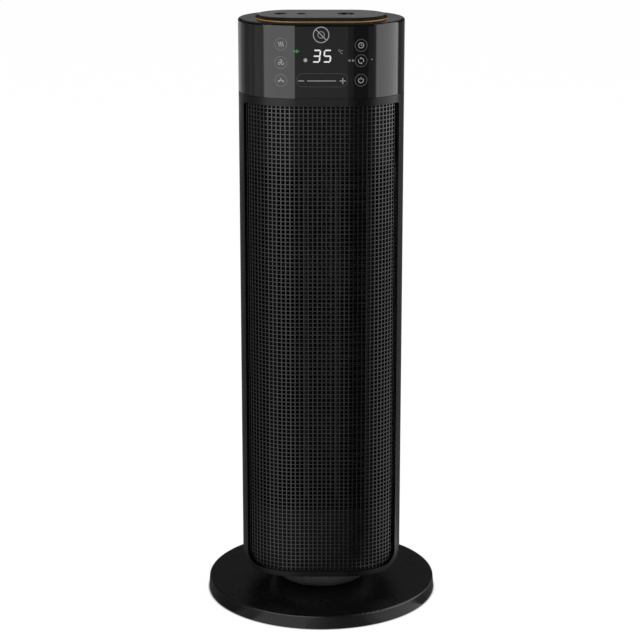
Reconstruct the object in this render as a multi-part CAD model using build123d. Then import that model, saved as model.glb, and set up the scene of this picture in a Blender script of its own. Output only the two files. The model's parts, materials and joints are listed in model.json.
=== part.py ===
from build123d import *
import math
import os

# Tower fan heater: a slim upright tower that swings on a round foot.
# Millimetres, +Z up, origin on the floor under the middle of the foot.
# The warm air leaves through the mesh at the front, which faces -Y.

# Tower plan: a flat front and back joined by half-round ends
tower_width = 170.0
tower_depth = 117.0
shell_wall = 2.5
fit_gap = 0.3
slip_gap = 0.2
running_gap = 0.06
seam_gap = 0.3

# Heights of the main stages
foot_height = 14.7
tower_bottom = 32.8
tower_height = 512.6
head_height = 74.1
frame_top_gap = 0.4

# Round foot
foot_top_radius = 121.6
foot_flare = 1.1
foot_wall = 2.4
foot_edge_radius = 2.2
skirt_gap = 0.5
floor_gap = 1.6
plate_thickness = 4.0
plate_edge_gap = 0.5
rubber_foot_radius = 8.0
rubber_foot_count = 5
rubber_foot_inset = 17.6
rubber_foot_sink = 1.0
rubber_foot_turn = 36.0
plate_screw_inset = 31.6
plate_screw_count = 5
plate_boss_radius = 4.5
screw_hole_gap = 0.05
screw_end_gap = 0.6
join = 0.1

# Screws
screw_radius = 1.5
screw_head_radius = 2.9
screw_head_height = 1.8
screw_slot_width = 0.8
screw_slot_depth = 0.9
screw_length = 9.0
foot_screw_length = 6.5

# Swivel post, its washer, fixed gear and nut
post_radius = 16.0
post_bore = 10.0
post_flange_radius = 30.0
post_flange_height = 3.0
post_neck_radius = 13.0
washer_inner = 20.0
washer_outer = 36.0
washer_sink = 1.0
bowl_lift = 0.5
hub_radius = 22.0
gear_module = 1.25
gear_teeth = 40
gear_height = 8.0
gear_lift = 1.7
gear_pressure = 20.0
gear_tip = 0.95
gear_root = 1.25
flank_steps = 4
gear_backlash = 0.14
gear_spread = 0.15
nut_radius = 18.0
nut_height = 3.5
post_stub = 1.0
pinion_teeth = 12
pinion_height = 7.0
pinion_shaft_radius = 2.5
pinion_shaft_reach = 5.0
motor_bore_room = 1.0

# Bowl under the tower
bowl_foot_radius = 43.0
bowl_rim_inset = 1.5
bowl_bulge_inset = 5.9
bowl_bulge_height = 8.0
bowl_wall = 2.6
bowl_ring_inner = 44.0
bowl_ring_wall = 5.0
bowl_screw_count = 4
bowl_screw_turn = 45.0
bowl_hole_gap = 0.5

# Tower bottom
tower_corner_radius = 20.0
pan_thickness = 3.0
pan_end_inset = 22.0
pan_screw_inset = 29.0
pan_screw_y = 26.0
pan_boss_radius = 4.5
pan_boss_height = 10.0
deck_height = 9.0
deck_thickness = 3.0
deck_leg_radius = 3.5
deck_leg_inset = 33.0
deck_leg_y = 20.0
deck_leg_front_inset = 51.0
deck_leg_front_room = 15.5
swing_motor_radius = 20.0
swing_motor_height = 16.0
swing_motor_ear = 5.0
swing_ear_wall = 1.2

# Window, mesh and frame at the front
window_side_margin = 6.0
window_bottom_margin = 5.4
window_top_margin = 8.2
window_corner = 12.0
window_top_corner = 3.0
mesh_wall = 1.0
mesh_overlap = 1.6
mesh_side_overlap = 0.9
mesh_columns_flat = 5
mesh_columns_side = 3
mesh_rows = 26
mesh_wire = 2.0
mesh_side_margin = 4.0
boss_radius = 4.0
boss_bite = 0.4
boss_y = 7.4
boss_height = 20.0

# Back: intake panel, hand grip, switch
intake_end_inset = 27.0
intake_bottom_margin = 17.0
intake_top_margin = 8.0
intake_corner = 8.0
intake_wall = 1.6
intake_slot = 5.0
intake_pitch = 10.0
intake_rib_half = 2.0
intake_side_margin = 4.0
grip_width = 84.0
grip_height = 32.0
grip_depth = 22.0
grip_drop = 40.4
grip_corner = 9.0
grip_wall = 2.0
grip_bezel = 8.0
grip_lip = 2.2
grip_lip_height = 1.2
switch_width = 21.0
switch_height = 15.0
switch_lift = 24.2
switch_depth = 17.0
switch_wall = 1.6
switch_bezel = 1.8
switch_bezel_height = 1.2
switch_seat_gap = 0.05
rocker_gap = 0.4
rocker_pin_radius = 1.2
rocker_pin_depth = 3.2
rocker_rise = 2.4
rocker_back = 5.0
rocker_tilt = 14.0
rocker_swing_room = 0.6
rocker_dish = 0.5
rocker_taper = 0.7

# Air duct and cross-flow wheel
wheel_side_room = 26.5
wheel_back_room = 2.1
blade_depth = 6.0
wheel_blades = 26
blade_wall = 1.1
blade_sweep = 5.0
blade_bow = 0.9
blade_tip_gap = 0.4
wheel_ring_room = 1.5
wheel_hub_height = 12.0
wheel_disc = 2.0
wheel_stages = 4
wheel_gap = 3.5
wheel_hub_radius = 7.0
shaft_radius = 3.0
duct_inset = 6.0
duct_floor_lift = 72.2
duct_plate = 3.0
duct_ceiling_drop = 71.4
duct_leg_radius = 4.0
duct_leg_inset = 37.0
duct_leg_room = 22.5
duct_wall = 1.6
screen_wall = 1.2
screen_side_inset = 9.0
screen_corner = 3.0
scroll_gap = 6.0
tongue_gap = 3.5
mouth_end_inset = 27.0
mouth_front_room = 36.5
mouth_ptc_gap = 4.0
scroll_cut = 0.42
scroll_knee = 0.55
tongue_turn = -40.0
lip_x = 9.0
lip_y = 14.0
ptc_frame_wall = 5.0
ptc_frame_depth = 17.0
ptc_front_room = 18.5
ptc_depth = 13.0
ptc_bars = 4
ptc_bar_wall = 3.0
ptc_fins = 44
ptc_fin_wall = 0.8
ptc_fin_inset = 0.5
cutout_radius = 8.0
cutout_height = 6.0
tab_width = 4.0
tab_wall = 0.8
tab_height = 6.0

# Blower motor
motor_can_inset = 2.0
motor_can_wall = 1.6
motor_can_height = 30.0
motor_drop = 4.0
motor_leg_inset = 5.0
shaft_stub = 2.0
motor_leg_radius = 3.0
stator_wall = 11.0
rotor_gap = 0.5
bush_radius = 6.5
bush_flange = 9.0
bush_flange_height = 2.0

# Head
head_edge_radius = 2.4
top_plate_thickness = 3.0
top_hole_inset = 17.0
ring_wall = 2.4
ring_show = 0.5
ring_sink = 5.0
disc_foot_gap = 0.2
disc_rise = 3.6
disc_slope_run = 20.0
disc_slope_depth = 24.5
top_wells = ((-42.0, 6.5), (-20.6, 4.8), (25.0, 8.8))
well_depth = 1.2
board_wall = 1.6
led_length = 5.0
led_width = 1.8
led_height = 1.0
led_count = 12
led_end_room = 2.5
ring_board_outer_inset = 9.0
ring_board_inner_inset = 27.0
peg_radius = 2.4
peg_margin = 1.0
deck_plate = 3.0
deck_drop = 1.4
deck_lead_hole = 14.0
head_boss_inset = 25.0
head_boss_radius = 5.4
head_boss_height = 16.0
control_end_inset = 38.0
control_bottom_room = 5.6
control_top_room = 8.5
control_room = 5.2
display_width = 26.0
display_height = 22.0
display_drop = 20.5
pad_radius = 4.0
key_inset = 45.0
key_low_lift = 18.1
key_high_drop = 20.5
slider_reach = 20.5
holder_width = 6.0
holder_depth = 4.0
holder_bar = 3.0
buzzer_radius = 6.0
buzzer_height = 5.0
buzzer_x = 20.0
buzzer_drop = 29.5

# Power board above the duct
power_end_inset = 45.0
power_depth = 56.0
power_front_room = 16.5
power_lift = 8.0
relay_size = 18.0
relay_height = 15.0
relay_margin = 6.0
relay_first_x = -28.0
relay_pitch = 22.0
block_width = 32.0
block_depth = 12.0
block_height = 13.0
block_left = 4.0
block_offset = 12.0
block_ways = 4
block_well = 3.0
block_well_radius = 2.4
tilt_radius = 6.0
power_leg_radius = 2.5
power_leg_inset = 6.0
tilt_height = 14.0
tilt_x = 26.0

# Cord entry at the back of the foot
gland_bore = 3.6
gland_wall = 1.4
gland_length = 12.0
gland_height = 7.3
cord_notch_width = 9.0
cord_notch_height = 6.5

# Worked-out values
end_radius = tower_depth / 2
end_centre = tower_width / 2 - end_radius
inner_inset = shell_wall + fit_gap
head_bottom = tower_bottom + tower_height
head_rim = head_bottom + head_height
foot_bottom_radius = foot_top_radius + foot_flare
rubber_foot_circle = foot_top_radius - rubber_foot_inset
plate_screw_circle = foot_top_radius - plate_screw_inset
bowl_top_radius = end_radius - bowl_rim_inset
bowl_bulge_radius = end_radius - bowl_bulge_inset
pan_half_width = tower_width / 2 - pan_end_inset
pan_screw_x = tower_width / 2 - pan_screw_inset
deck_leg_x = tower_width / 2 - deck_leg_inset
deck_leg_front_x = tower_width / 2 - deck_leg_front_inset
deck_leg_front_y = end_radius - deck_leg_front_room
window_half_width = tower_width / 2 - window_side_margin
window_bottom = tower_bottom + window_bottom_margin
window_top = head_bottom - window_top_margin
duct_floor = tower_bottom + duct_floor_lift
duct_ceiling = head_bottom - duct_ceiling_drop
duct_leg_x = tower_width / 2 - duct_leg_inset
duct_leg_y = end_radius - duct_leg_room
intake_half_width = tower_width / 2 - intake_end_inset
intake_bottom = duct_floor + intake_bottom_margin
intake_top = duct_ceiling - intake_top_margin
grip_centre = head_bottom - grip_drop
switch_centre = tower_bottom + switch_lift
wheel_radius = end_radius - wheel_side_room
wheel_inner = wheel_radius - blade_depth
wheel_y = end_radius - inner_inset - wheel_back_room - duct_wall - scroll_gap - wheel_radius
mouth_half_width = tower_width / 2 - mouth_end_inset
mouth_y = -(end_radius - mouth_front_room)
ptc_frame_front = -(end_radius - ptc_front_room)
motor_can_radius = wheel_radius - motor_can_inset
power_width = tower_width - 2 * power_end_inset
power_y = -(end_radius - power_front_room - power_depth / 2)
disc_top_width = tower_width - 2 * disc_slope_run
disc_top_depth = tower_depth - 2 * disc_slope_depth
led_reach = end_centre - led_end_room
head_boss_x = tower_width / 2 - head_boss_inset
control_width = tower_width - 2 * control_end_inset
control_bottom = head_bottom + control_bottom_room
control_top = head_rim - control_top_room
display_top = head_rim - display_drop
display_bottom = display_top - display_height
key_x = tower_width / 2 - key_inset
key_low = head_bottom + key_low_lift
key_high = head_rim - key_high_drop
key_heights = (key_low, (key_low + key_high) / 2, key_high)
slider_keys = (-slider_reach, 0.0, slider_reach)
buzzer_z = head_rim - buzzer_drop
wheel_bottom = duct_floor + duct_plate + wheel_gap
wheel_top = duct_ceiling - wheel_gap
bowl_bottom = foot_height + bowl_lift
bowl_top = tower_bottom - fit_gap
flange_top = tower_bottom + shell_wall
pan_bottom = flange_top + slip_gap
pan_top = pan_bottom + pan_thickness
gear_bottom = tower_bottom + gear_lift
hub_top = gear_bottom - fit_gap
gear_top = gear_bottom + gear_height
swing_deck_bottom = pan_top + deck_height
swing_deck_top = swing_deck_bottom + deck_thickness
plate_top = floor_gap + plate_thickness
frame_top = head_bottom - frame_top_gap
head_deck_top = head_bottom - deck_drop
head_deck_bottom = head_deck_top - deck_plate
control_back = -(end_radius - inner_inset - control_room)
ring_board_top = head_rim - ring_sink - led_height - fit_gap
gland_back = foot_top_radius - gland_length - fit_gap
boss_x = end_centre + math.sqrt((end_radius - shell_wall) ** 2 - boss_y ** 2) - boss_radius + boss_bite
pan_inset = inner_inset + mesh_wall + fit_gap
head_boss_reach = end_radius - inner_inset - mesh_wall - fit_gap - screw_head_radius
pinion_centre = gear_module * (gear_teeth + pinion_teeth) / 2 + gear_spread


def plan(inset, bottom, top):
    """Upright solid with the tower's plan, drawn in by inset."""
    face = SlotOverall(tower_width - 2 * inset, tower_depth - 2 * inset)
    return extrude(Pos(0, 0, bottom) * face, top - bottom)


def post(x, y, bottom, top, radius):
    """Upright round pin or column."""
    return Pos(x, y, (bottom + top) / 2) * Cylinder(radius, top - bottom)


def ring(inner, outer, bottom, top, x=0.0, y=0.0):
    """Upright ring round a vertical line."""
    return post(x, y, bottom, top, outer) - post(x, y, bottom - 1, top + 1, inner)


def block(x0, x1, y0, y1, z0, z1):
    """Box between two corners."""
    return Pos((x0 + x1) / 2, (y0 + y1) / 2, (z0 + z1) / 2) * Box(x1 - x0, y1 - y0, z1 - z0)


def facing(width, bottom, top, corner, y0, y1):
    """Rounded rectangle seen from the front, run from y0 to y1."""
    face = RectangleRounded(width, top - bottom, corner)
    slab = extrude(Plane.XZ * face, y1 - y0)
    return Pos(0, y1, (bottom + top) / 2) * slab


def four_ways(x, y):
    """The point and its mirror images across both middle planes."""
    return [(sx * x, sy * y) for sx in (-1, 1) for sy in (-1, 1)]


def polar(count, radius, start=0.0):
    """Points evenly round a circle."""
    turns = [math.radians(start + 360.0 * i / count) for i in range(count)]
    return [(radius * math.cos(a), radius * math.sin(a)) for a in turns]


def screw(x, y, seat, up, length=screw_length):
    """Screw whose head bears at the height seat; up is 1 when the shank points up."""
    head = post(0, 0, -screw_head_height, 0, screw_head_radius)
    shank = post(0, 0, -join, length, screw_radius)
    slot = block(-screw_head_radius, screw_head_radius, -screw_slot_width / 2, screw_slot_width / 2,
                 -screw_head_height, -screw_head_height + screw_slot_depth)
    body = head + shank - slot
    if up < 0:
        body = Rot(180, 0, 0) * body
    return Pos(x, y, seat) * body


def group(solids):
    """Several like pieces kept together as separate solids."""
    return Compound(children=[s.solid() for s in solids])


def elevation_cut(inset, bottom, top):
    """Front view of the tower with rounded lower corners, as a slab in Y."""
    half = tower_width / 2 - inset
    corner = tower_corner_radius - inset
    face = make_face(
        Polyline((-half, bottom + corner), (-half, top), (half, top), (half, bottom + corner))
        + RadiusArc((half, bottom + corner), (half - corner, bottom), corner)
        + Line((half - corner, bottom), (-half + corner, bottom))
        + RadiusArc((-half + corner, bottom), (-half, bottom + corner), corner)
    )
    slab = extrude(Plane.XZ * face, tower_depth)
    return Pos(0, tower_depth / 2, 0) * slab


# Foot

def base_shell():
    """Round cover of the foot, open below, with bosses for the plate."""
    cone = Solid.make_cone(foot_bottom_radius, foot_top_radius, foot_height - skirt_gap)
    cover = Part() + Pos(0, 0, skirt_gap) * cone
    cover = fillet(cover.edges().filter_by(GeomType.CIRCLE).sort_by(Axis.Z)[-1], foot_edge_radius)
    ceiling = foot_height - foot_wall
    cover -= post(0, 0, 0, ceiling, foot_top_radius - foot_wall)
    for x, y in polar(plate_screw_count, plate_screw_circle):
        cover += post(x, y, plate_top, ceiling + join, plate_boss_radius)
        top = screw_seat() + foot_screw_length + screw_end_gap
        cover -= post(x, y, plate_top - 1, top, screw_radius + screw_hole_gap)
    cover -= post(0, 0, 0, foot_height + 1, post_radius + slip_gap)
    cover -= ring(washer_inner - slip_gap, washer_outer + slip_gap,
                  foot_height - washer_sink, foot_height + 1)
    entry_radius = gland_bore + gland_wall + slip_gap / 2
    return cover - lying_pin(entry_radius, gland_back - fit_gap, foot_bottom_radius + 1)


def screw_seat():
    """Height where the foot screws' heads bear, inside the plate."""
    return floor_gap + screw_head_height + slip_gap


def lying_pin(radius, y0, y1):
    """Round bar along Y at the height of the cord entry."""
    return Pos(0, (y0 + y1) / 2, gland_height) * Rot(90, 0, 0) * Cylinder(radius, y1 - y0)


def base_plate():
    """Heavy steel plate that closes the foot from below."""
    radius = foot_top_radius - foot_wall - plate_edge_gap
    plate = post(0, 0, floor_gap, plate_top, radius)
    for x, y in polar(plate_screw_count, plate_screw_circle):
        plate -= post(x, y, 0, plate_top + 1, screw_radius + slip_gap)
        plate -= post(x, y, 0, screw_seat(), screw_head_radius + slip_gap)
    for x, y in polar(rubber_foot_count, rubber_foot_circle, rubber_foot_turn):
        plate -= post(x, y, 0, floor_gap + rubber_foot_sink, rubber_foot_radius + slip_gap / 2)
    gap = gland_bore + gland_wall + 2 * fit_gap
    return plate - block(-gap, gap, gland_back - fit_gap, foot_bottom_radius, 0, plate_top + 1)


def rubber_feet():
    """Soft pads that the heater stands on."""
    pads = []
    for x, y in polar(rubber_foot_count, rubber_foot_circle, rubber_foot_turn):
        pads.append(post(x, y, 0, floor_gap + rubber_foot_sink, rubber_foot_radius))
    return group(pads)


def base_screws():
    """Screws that hold the plate to the cover."""
    spots = polar(plate_screw_count, plate_screw_circle)
    return group([screw(x, y, screw_seat(), 1, foot_screw_length) for x, y in spots])


def swivel_post():
    """Hollow post on the plate that the tower turns on."""
    body = post(0, 0, plate_top, plate_top + post_flange_height, post_flange_radius)
    body += post(0, 0, plate_top, gear_bottom, post_radius)
    body += post(0, 0, plate_top, gear_top + nut_height + post_stub, post_neck_radius)
    body -= post(0, 0, 0, gear_top + nut_height + post_stub + 1, post_bore)
    half = cord_notch_width / 2
    return body - block(-half, half, 0, post_flange_radius + 1,
                        plate_top - 1, plate_top + cord_notch_height)


def thrust_washer():
    """Slippery ring that carries the bowl."""
    return ring(washer_inner, washer_outer, foot_height - washer_sink, bowl_bottom - slip_gap)


def involute(base, angle):
    """Point of the involute of a circle, as radius and turn."""
    return base * math.sqrt(1 + angle * angle), angle - math.atan(angle)


def gear_face(teeth, start):
    """Face of a spur gear with involute flanks and a little backlash."""
    pitch = gear_module * teeth / 2
    base = pitch * math.cos(math.radians(gear_pressure))
    outer = pitch + gear_module * gear_tip
    root = pitch - gear_module * gear_root
    half_tooth = math.pi / (2 * teeth) - gear_backlash / (2 * pitch)
    pitch_angle = math.tan(math.radians(gear_pressure))
    offset = half_tooth + involute(base, pitch_angle)[1]
    tip_angle = math.sqrt((outer / base) ** 2 - 1)
    low_angle = math.sqrt(max((root / base) ** 2 - 1, 0.0))
    flank = []
    for i in range(flank_steps + 1):
        radius, turn = involute(base, low_angle + (tip_angle - low_angle) * i / flank_steps)
        flank.append((radius, offset - turn))
    if root < base:
        flank.insert(0, (root, flank[0][1]))
    points = []
    for k in range(teeth):
        centre = math.radians(start) + 2 * math.pi * k / teeth
        for radius, turn in flank:
            points.append((radius * math.cos(centre - turn), radius * math.sin(centre - turn)))
        for radius, turn in reversed(flank):
            points.append((radius * math.cos(centre + turn), radius * math.sin(centre + turn)))
    return make_face(Polyline(*points, close=True))


def swing_gear():
    """Gear fixed on the post; the swing motor walks round it."""
    body = extrude(Pos(0, 0, gear_bottom) * gear_face(gear_teeth, 0.0), gear_height)
    return body - post(0, 0, gear_bottom - 1, gear_top + 1, post_neck_radius + running_gap)


def post_nut():
    """Ring on top of the post that keeps gear and tower down."""
    return ring(post_neck_radius + running_gap, nut_radius, gear_top, gear_top + nut_height)


def cord_gland():
    """Sleeve at the back of the foot where the mains cord enters."""
    outer = lying_pin(gland_bore + gland_wall, gland_back, gland_back + gland_length)
    return outer - lying_pin(gland_bore, gland_back - 1, gland_back + gland_length + 1)


# Neck and drive

def neck_bowl():
    """Smooth bowl under the tower, with the hub that runs on the post."""
    mid = (bowl_bulge_radius, bowl_bottom + bowl_bulge_height)
    foot = (bowl_foot_radius, bowl_bottom)
    rim = (bowl_top_radius, bowl_top)
    inner_mid = (bowl_bulge_radius - bowl_wall, bowl_bottom + bowl_bulge_height + bowl_wall / 2)
    inner_foot = (bowl_foot_radius - bowl_wall, bowl_bottom + bowl_wall)
    inner_rim = (bowl_top_radius - bowl_wall, bowl_top - bowl_wall)
    shelf = [(bowl_ring_inner, bowl_top), (bowl_ring_inner, bowl_top - bowl_wall)]
    outline = ThreePointArc(foot, mid, rim)
    outline += Polyline(rim, *shelf, inner_rim)
    outline += ThreePointArc(inner_rim, inner_mid, inner_foot)
    bore = post_radius + running_gap
    outline += Polyline(inner_foot, (hub_radius, bowl_bottom + bowl_wall), (hub_radius, hub_top),
                        (bore, hub_top), (bore, bowl_bottom), foot)
    body = revolve(Plane.XZ * make_face(outline), Axis.Z)
    body += ring(bowl_ring_inner, bowl_ring_inner + bowl_ring_wall, bowl_top - bowl_wall, pan_bottom)
    for x, y in bowl_screw_spots():
        body -= post(x, y, pan_bottom - screw_length, pan_bottom + 1, screw_radius)
    return body


def bowl_screw_spots():
    """Screws in the middle of the bowl's ring."""
    return polar(bowl_screw_count, bowl_ring_inner + bowl_ring_wall / 2, bowl_screw_turn)


def bowl_screws():
    """Screws from the pan down into the bowl."""
    return group([screw(x, y, pan_top, -1) for x, y in bowl_screw_spots()])


def bottom_pan():
    """Chassis plate inside the bottom of the tower."""
    pan = plan(pan_inset, pan_bottom, pan_top)
    pan &= block(-pan_half_width, pan_half_width, -tower_depth, tower_depth, pan_bottom, pan_top)
    boss_top = pan_top + pan_boss_height
    for x, y in four_ways(pan_screw_x, pan_screw_y):
        pan += post(x, y, pan_top - join, boss_top, pan_boss_radius)
        pan -= post(x, y, 0, boss_top - screw_end_gap, screw_radius)
    pan -= post(0, 0, 0, pan_top + 1, bowl_ring_inner)
    for x, y in bowl_screw_spots():
        pan -= post(x, y, 0, pan_top + 1, screw_radius + slip_gap)
    return pan


def pan_screws():
    """Screws up through the shells into the pan."""
    spots = four_ways(pan_screw_x, pan_screw_y)
    return group([screw(x, y, tower_bottom, 1) for x, y in spots])


def swing_deck():
    """Bridge over the gear that holds the swing motor."""
    deck = plan(duct_inset, swing_deck_bottom, swing_deck_top)
    deck &= block(-pan_half_width, pan_half_width, -tower_depth, deck_leg_y,
                  swing_deck_bottom, swing_deck_top)
    for x, y in deck_legs():
        deck += post(x, y, pan_top, swing_deck_bottom + join, deck_leg_radius)
    deck -= post(0, 0, 0, swing_deck_top + 1, post_radius)
    deck -= post(0, -pinion_centre, 0, swing_deck_top + 1, pinion_shaft_radius + 2 * fit_gap)
    for sx in (-1, 1):
        boss_hole = post(sx * pan_screw_x, -pan_screw_y, swing_deck_bottom - 1, swing_deck_top + 1,
                         pan_boss_radius + fit_gap)
        leg_hole = post(sx * duct_leg_x, -duct_leg_y, swing_deck_bottom - 1, swing_deck_top + 1,
                        duct_leg_radius + fit_gap)
        deck = deck - boss_hole - leg_hole
    return deck


def deck_legs():
    """Where the bridge stands on the pan."""
    front = [(sx * deck_leg_front_x, -deck_leg_front_y) for sx in (-1, 1)]
    return front + [(sx * deck_leg_x, deck_leg_y - deck_leg_radius - 1) for sx in (-1, 1)]


def swing_motor():
    """Flat geared motor for the swing, with two ears."""
    y = -pinion_centre
    can = post(0, y, swing_deck_top, swing_deck_top + swing_motor_height, swing_motor_radius)
    reach = swing_motor_radius + swing_motor_ear
    can += block(-reach, reach, y - swing_motor_ear, y + swing_motor_ear,
                 swing_deck_top, swing_deck_top + swing_ear_wall)
    can &= plan(duct_inset, 0, frame_top)
    bore_top = swing_deck_top + pinion_shaft_reach + motor_bore_room
    return can - post(0, y, swing_deck_top - 1, bore_top, pinion_shaft_radius + running_gap)


def swing_pinion():
    """Small gear on the swing motor's shaft."""
    y = -pinion_centre
    low = gear_bottom + (gear_height - pinion_height) / 2
    body = extrude(Pos(0, y, low) * gear_face(pinion_teeth, 180.0 / pinion_teeth), pinion_height)
    return body + post(0, y, low, swing_deck_top + pinion_shaft_reach, pinion_shaft_radius)


# Shells

def shell_half(front):
    """One half of the tower's skin, with a flange under it."""
    outer = plan(0, tower_bottom, frame_top) & elevation_cut(0, tower_bottom, frame_top)
    inner = plan(shell_wall, tower_bottom, frame_top + 1)
    inner &= elevation_cut(shell_wall, flange_top, frame_top + 1)
    shell = outer - inner
    shell -= post(0, 0, 0, flange_top + 1, bowl_ring_inner + bowl_ring_wall + bowl_hole_gap)
    half = seam_gap / 2
    side = -1 if front else 1
    keep = block(-tower_width, tower_width, half, tower_depth, 0, frame_top + 1)
    if front:
        keep = mirror(keep, Plane.XZ)
    shell &= keep
    for sx in (-1, 1):
        top = head_deck_bottom
        boss = post(sx * boss_x, side * boss_y, top - boss_height, top, boss_radius)
        boss &= plan(shell_wall / 2, 0, top + 1)
        shell += boss
        shell -= post(sx * boss_x, side * boss_y, top - screw_length, top + 1, screw_radius)
        shell -= post(sx * pan_screw_x, side * pan_screw_y, 0, flange_top + 1, screw_radius + slip_gap)
    return shell


def front_frame():
    """Matt frame round the mesh."""
    shell = shell_half(True)
    window = facing(2 * window_half_width, window_bottom, window_top, window_corner, -tower_depth, 0)
    window += facing(2 * window_half_width, duct_ceiling, window_top, window_top_corner, -tower_depth, 0)
    near = block(-tower_width, tower_width, -tower_depth, -boss_y - boss_radius - 1, 0, frame_top + 1)
    return shell - (window & near)


def skin(inset, wall, half_width, bottom, top, corner, front):
    """Curved sheet that follows the tower's plan behind a window."""
    sheet = plan(inset, bottom, top) - plan(inset + wall, bottom - 1, top + 1)
    if front:
        return sheet & facing(2 * half_width, bottom, top, corner, -tower_depth, -1)
    return sheet & facing(2 * half_width, bottom, top, corner, 1, tower_depth)


def mesh_sheet():
    """Wire mesh round the front, drawn with coarse openings."""
    inset = inner_inset
    sheet = skin(inset, mesh_wall, window_half_width + mesh_side_overlap, window_bottom - mesh_overlap,
                 window_top + mesh_overlap, window_top_corner, True)
    sheet &= elevation_cut(inner_inset, flange_top + fit_gap, frame_top)
    row_pitch = (window_top - window_bottom) / mesh_rows
    column_pitch = 2 * end_centre / mesh_columns_flat
    side_span = math.degrees(math.asin((window_half_width - end_centre) / end_radius)) - mesh_side_margin
    side_pitch = side_span / mesh_columns_side
    side_arc = math.radians(side_pitch) * (end_radius - inset)
    cut_depth = 6 * mesh_wall
    cutters = []
    for row in range(mesh_rows):
        z = window_bottom + row_pitch * (row + 0.5)
        for i in range(mesh_columns_flat):
            x = -end_centre + column_pitch * (i + 0.5)
            tool = Box(column_pitch - mesh_wire, cut_depth, row_pitch - mesh_wire)
            cutters.append(Pos(x, -end_radius + inset, z) * tool)
        for sx in (-1, 1):
            for i in range(mesh_columns_side):
                turn = sx * side_pitch * (i + 0.5)
                tool = Box(side_arc - mesh_wire, cut_depth, row_pitch - mesh_wire)
                place = Pos(sx * end_centre, 0, z) * Rot(0, 0, turn) * Pos(0, -end_radius + inset, 0)
                cutters.append(place * tool)
    return sheet - cutters


def mesh_panel(x0, x1):
    """The part of the mesh between two distances across."""
    return mesh_sheet() & block(x0, x1, -tower_depth, 0, 0, frame_top)


def mesh_middle():
    """Flat middle panel of the mesh."""
    return mesh_panel(-end_centre, end_centre)


def mesh_left():
    """Curved left panel of the mesh."""
    return mesh_panel(-tower_width, -end_centre)


def mesh_right():
    """Curved right panel of the mesh."""
    return mesh_panel(end_centre, tower_width)


def rear_shell():
    """Back of the tower with its three openings."""
    shell = shell_half(False)
    shell -= facing(2 * intake_half_width, intake_bottom, intake_top, intake_corner, 1, tower_depth)
    shell -= grip_opening(grip_bezel + slip_gap, 1)
    hole_w = switch_width + 2 * slip_gap
    hole_h = switch_height + 2 * slip_gap
    return shell - block(-hole_w / 2, hole_w / 2, 1, tower_depth,
                         switch_centre - hole_h / 2, switch_centre + hole_h / 2)


def intake_grille():
    """Slotted panel where the cold air enters."""
    margin = mesh_overlap
    sheet = skin(inner_inset, intake_wall, intake_half_width + margin, intake_bottom - margin,
                 intake_top + margin, intake_corner, False)
    count = int((intake_top - intake_bottom - intake_pitch) / intake_pitch)
    start = (intake_bottom + intake_top) / 2 - (count - 1) * intake_pitch / 2
    cutters = []
    for i in range(count):
        z = start + i * intake_pitch
        for sx in (-1, 1):
            x0 = intake_rib_half
            x1 = intake_half_width - intake_side_margin
            ends = sorted((sx * x0, sx * x1))
            low = z - intake_slot / 2
            cutters.append(block(ends[0], ends[1], 1, tower_depth, low, low + intake_slot))
    return sheet - cutters


def handle_cup():
    """Recess in the back where the hand lifts the heater."""
    back = end_radius - grip_depth
    outer = grip_opening(grip_wall, back - grip_wall)
    cup = (outer - grip_opening(0, back)) & plan(0, 0, frame_top)
    bezel = grip_opening(grip_bezel, 1) - grip_opening(0, 1)
    bezel &= plan(0, 0, frame_top) - plan(shell_wall + slip_gap + join, -1, frame_top + 1)
    behind = shell_wall + slip_gap
    lip = plan(behind, 0, frame_top) - plan(behind + grip_lip_height, -1, frame_top + 1)
    return cup + bezel + (lip & (grip_opening(grip_bezel + grip_lip, 1) - grip_opening(0, 1)))


def grip_opening(grow, y0):
    """Rounded opening of the hand grip, grown all round, from y0 outwards."""
    low = grip_centre - grip_height / 2 - grow
    high = grip_centre + grip_height / 2 + grow
    return facing(grip_width + 2 * grow, low, high, grip_corner + grow, y0, tower_depth)


def rocker_housing():
    """Box of the mains switch, clipped into the back."""
    front = end_radius + switch_bezel_height
    body = switch_box(0, end_radius - switch_depth, front)
    body += switch_box(switch_bezel, end_radius + switch_seat_gap, front)
    body -= switch_box(-switch_wall, end_radius - switch_depth + switch_wall, front + 1)
    return body - rocker_pin(rocker_pin_radius + running_gap, switch_width + 2)


def switch_box(grow, y0, y1):
    """Block of the switch's outline, grown all round."""
    half_w = switch_width / 2 + grow
    half_h = switch_height / 2 + grow
    return block(-half_w, half_w, y0, y1, switch_centre - half_h, switch_centre + half_h)


def rocker_pin(radius, length):
    """Pin across the switch that the rocker turns on."""
    turn = Rot(0, 90, 0)
    return Pos(0, end_radius - rocker_pin_depth, switch_centre) * turn * Cylinder(radius, length)


def power_rocker():
    """Rocker of the mains switch, resting in its off position."""
    half_w = switch_width / 2 - switch_wall - rocker_gap
    half_h = switch_height / 2 - switch_wall - rocker_gap - rocker_swing_room
    pin_y = end_radius - rocker_pin_depth
    face_y = end_radius + rocker_rise
    dip = half_h * math.tan(math.radians(rocker_tilt / 2))
    outline = [(face_y - dip, -half_h), (face_y - dip - rocker_dish, 0), (face_y - dip, half_h),
               (pin_y - rocker_back / 2, half_h * rocker_taper), (pin_y - rocker_back, 0),
               (pin_y - rocker_back / 2, -half_h * rocker_taper)]
    face = make_face(Polyline(*outline, close=True))
    body = Pos(0, 0, switch_centre) * extrude(Plane.YZ * face, half_w, both=True)
    turn = Pos(0, pin_y, switch_centre) * Rot(rocker_tilt / 2, 0, 0) * Pos(0, -pin_y, -switch_centre)
    return turn * body + rocker_pin(rocker_pin_radius, switch_width - slip_gap * 2)


# Duct, heater and blower

def duct_legs():
    """Columns that carry the duct."""
    return four_ways(duct_leg_x, duct_leg_y)


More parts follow.
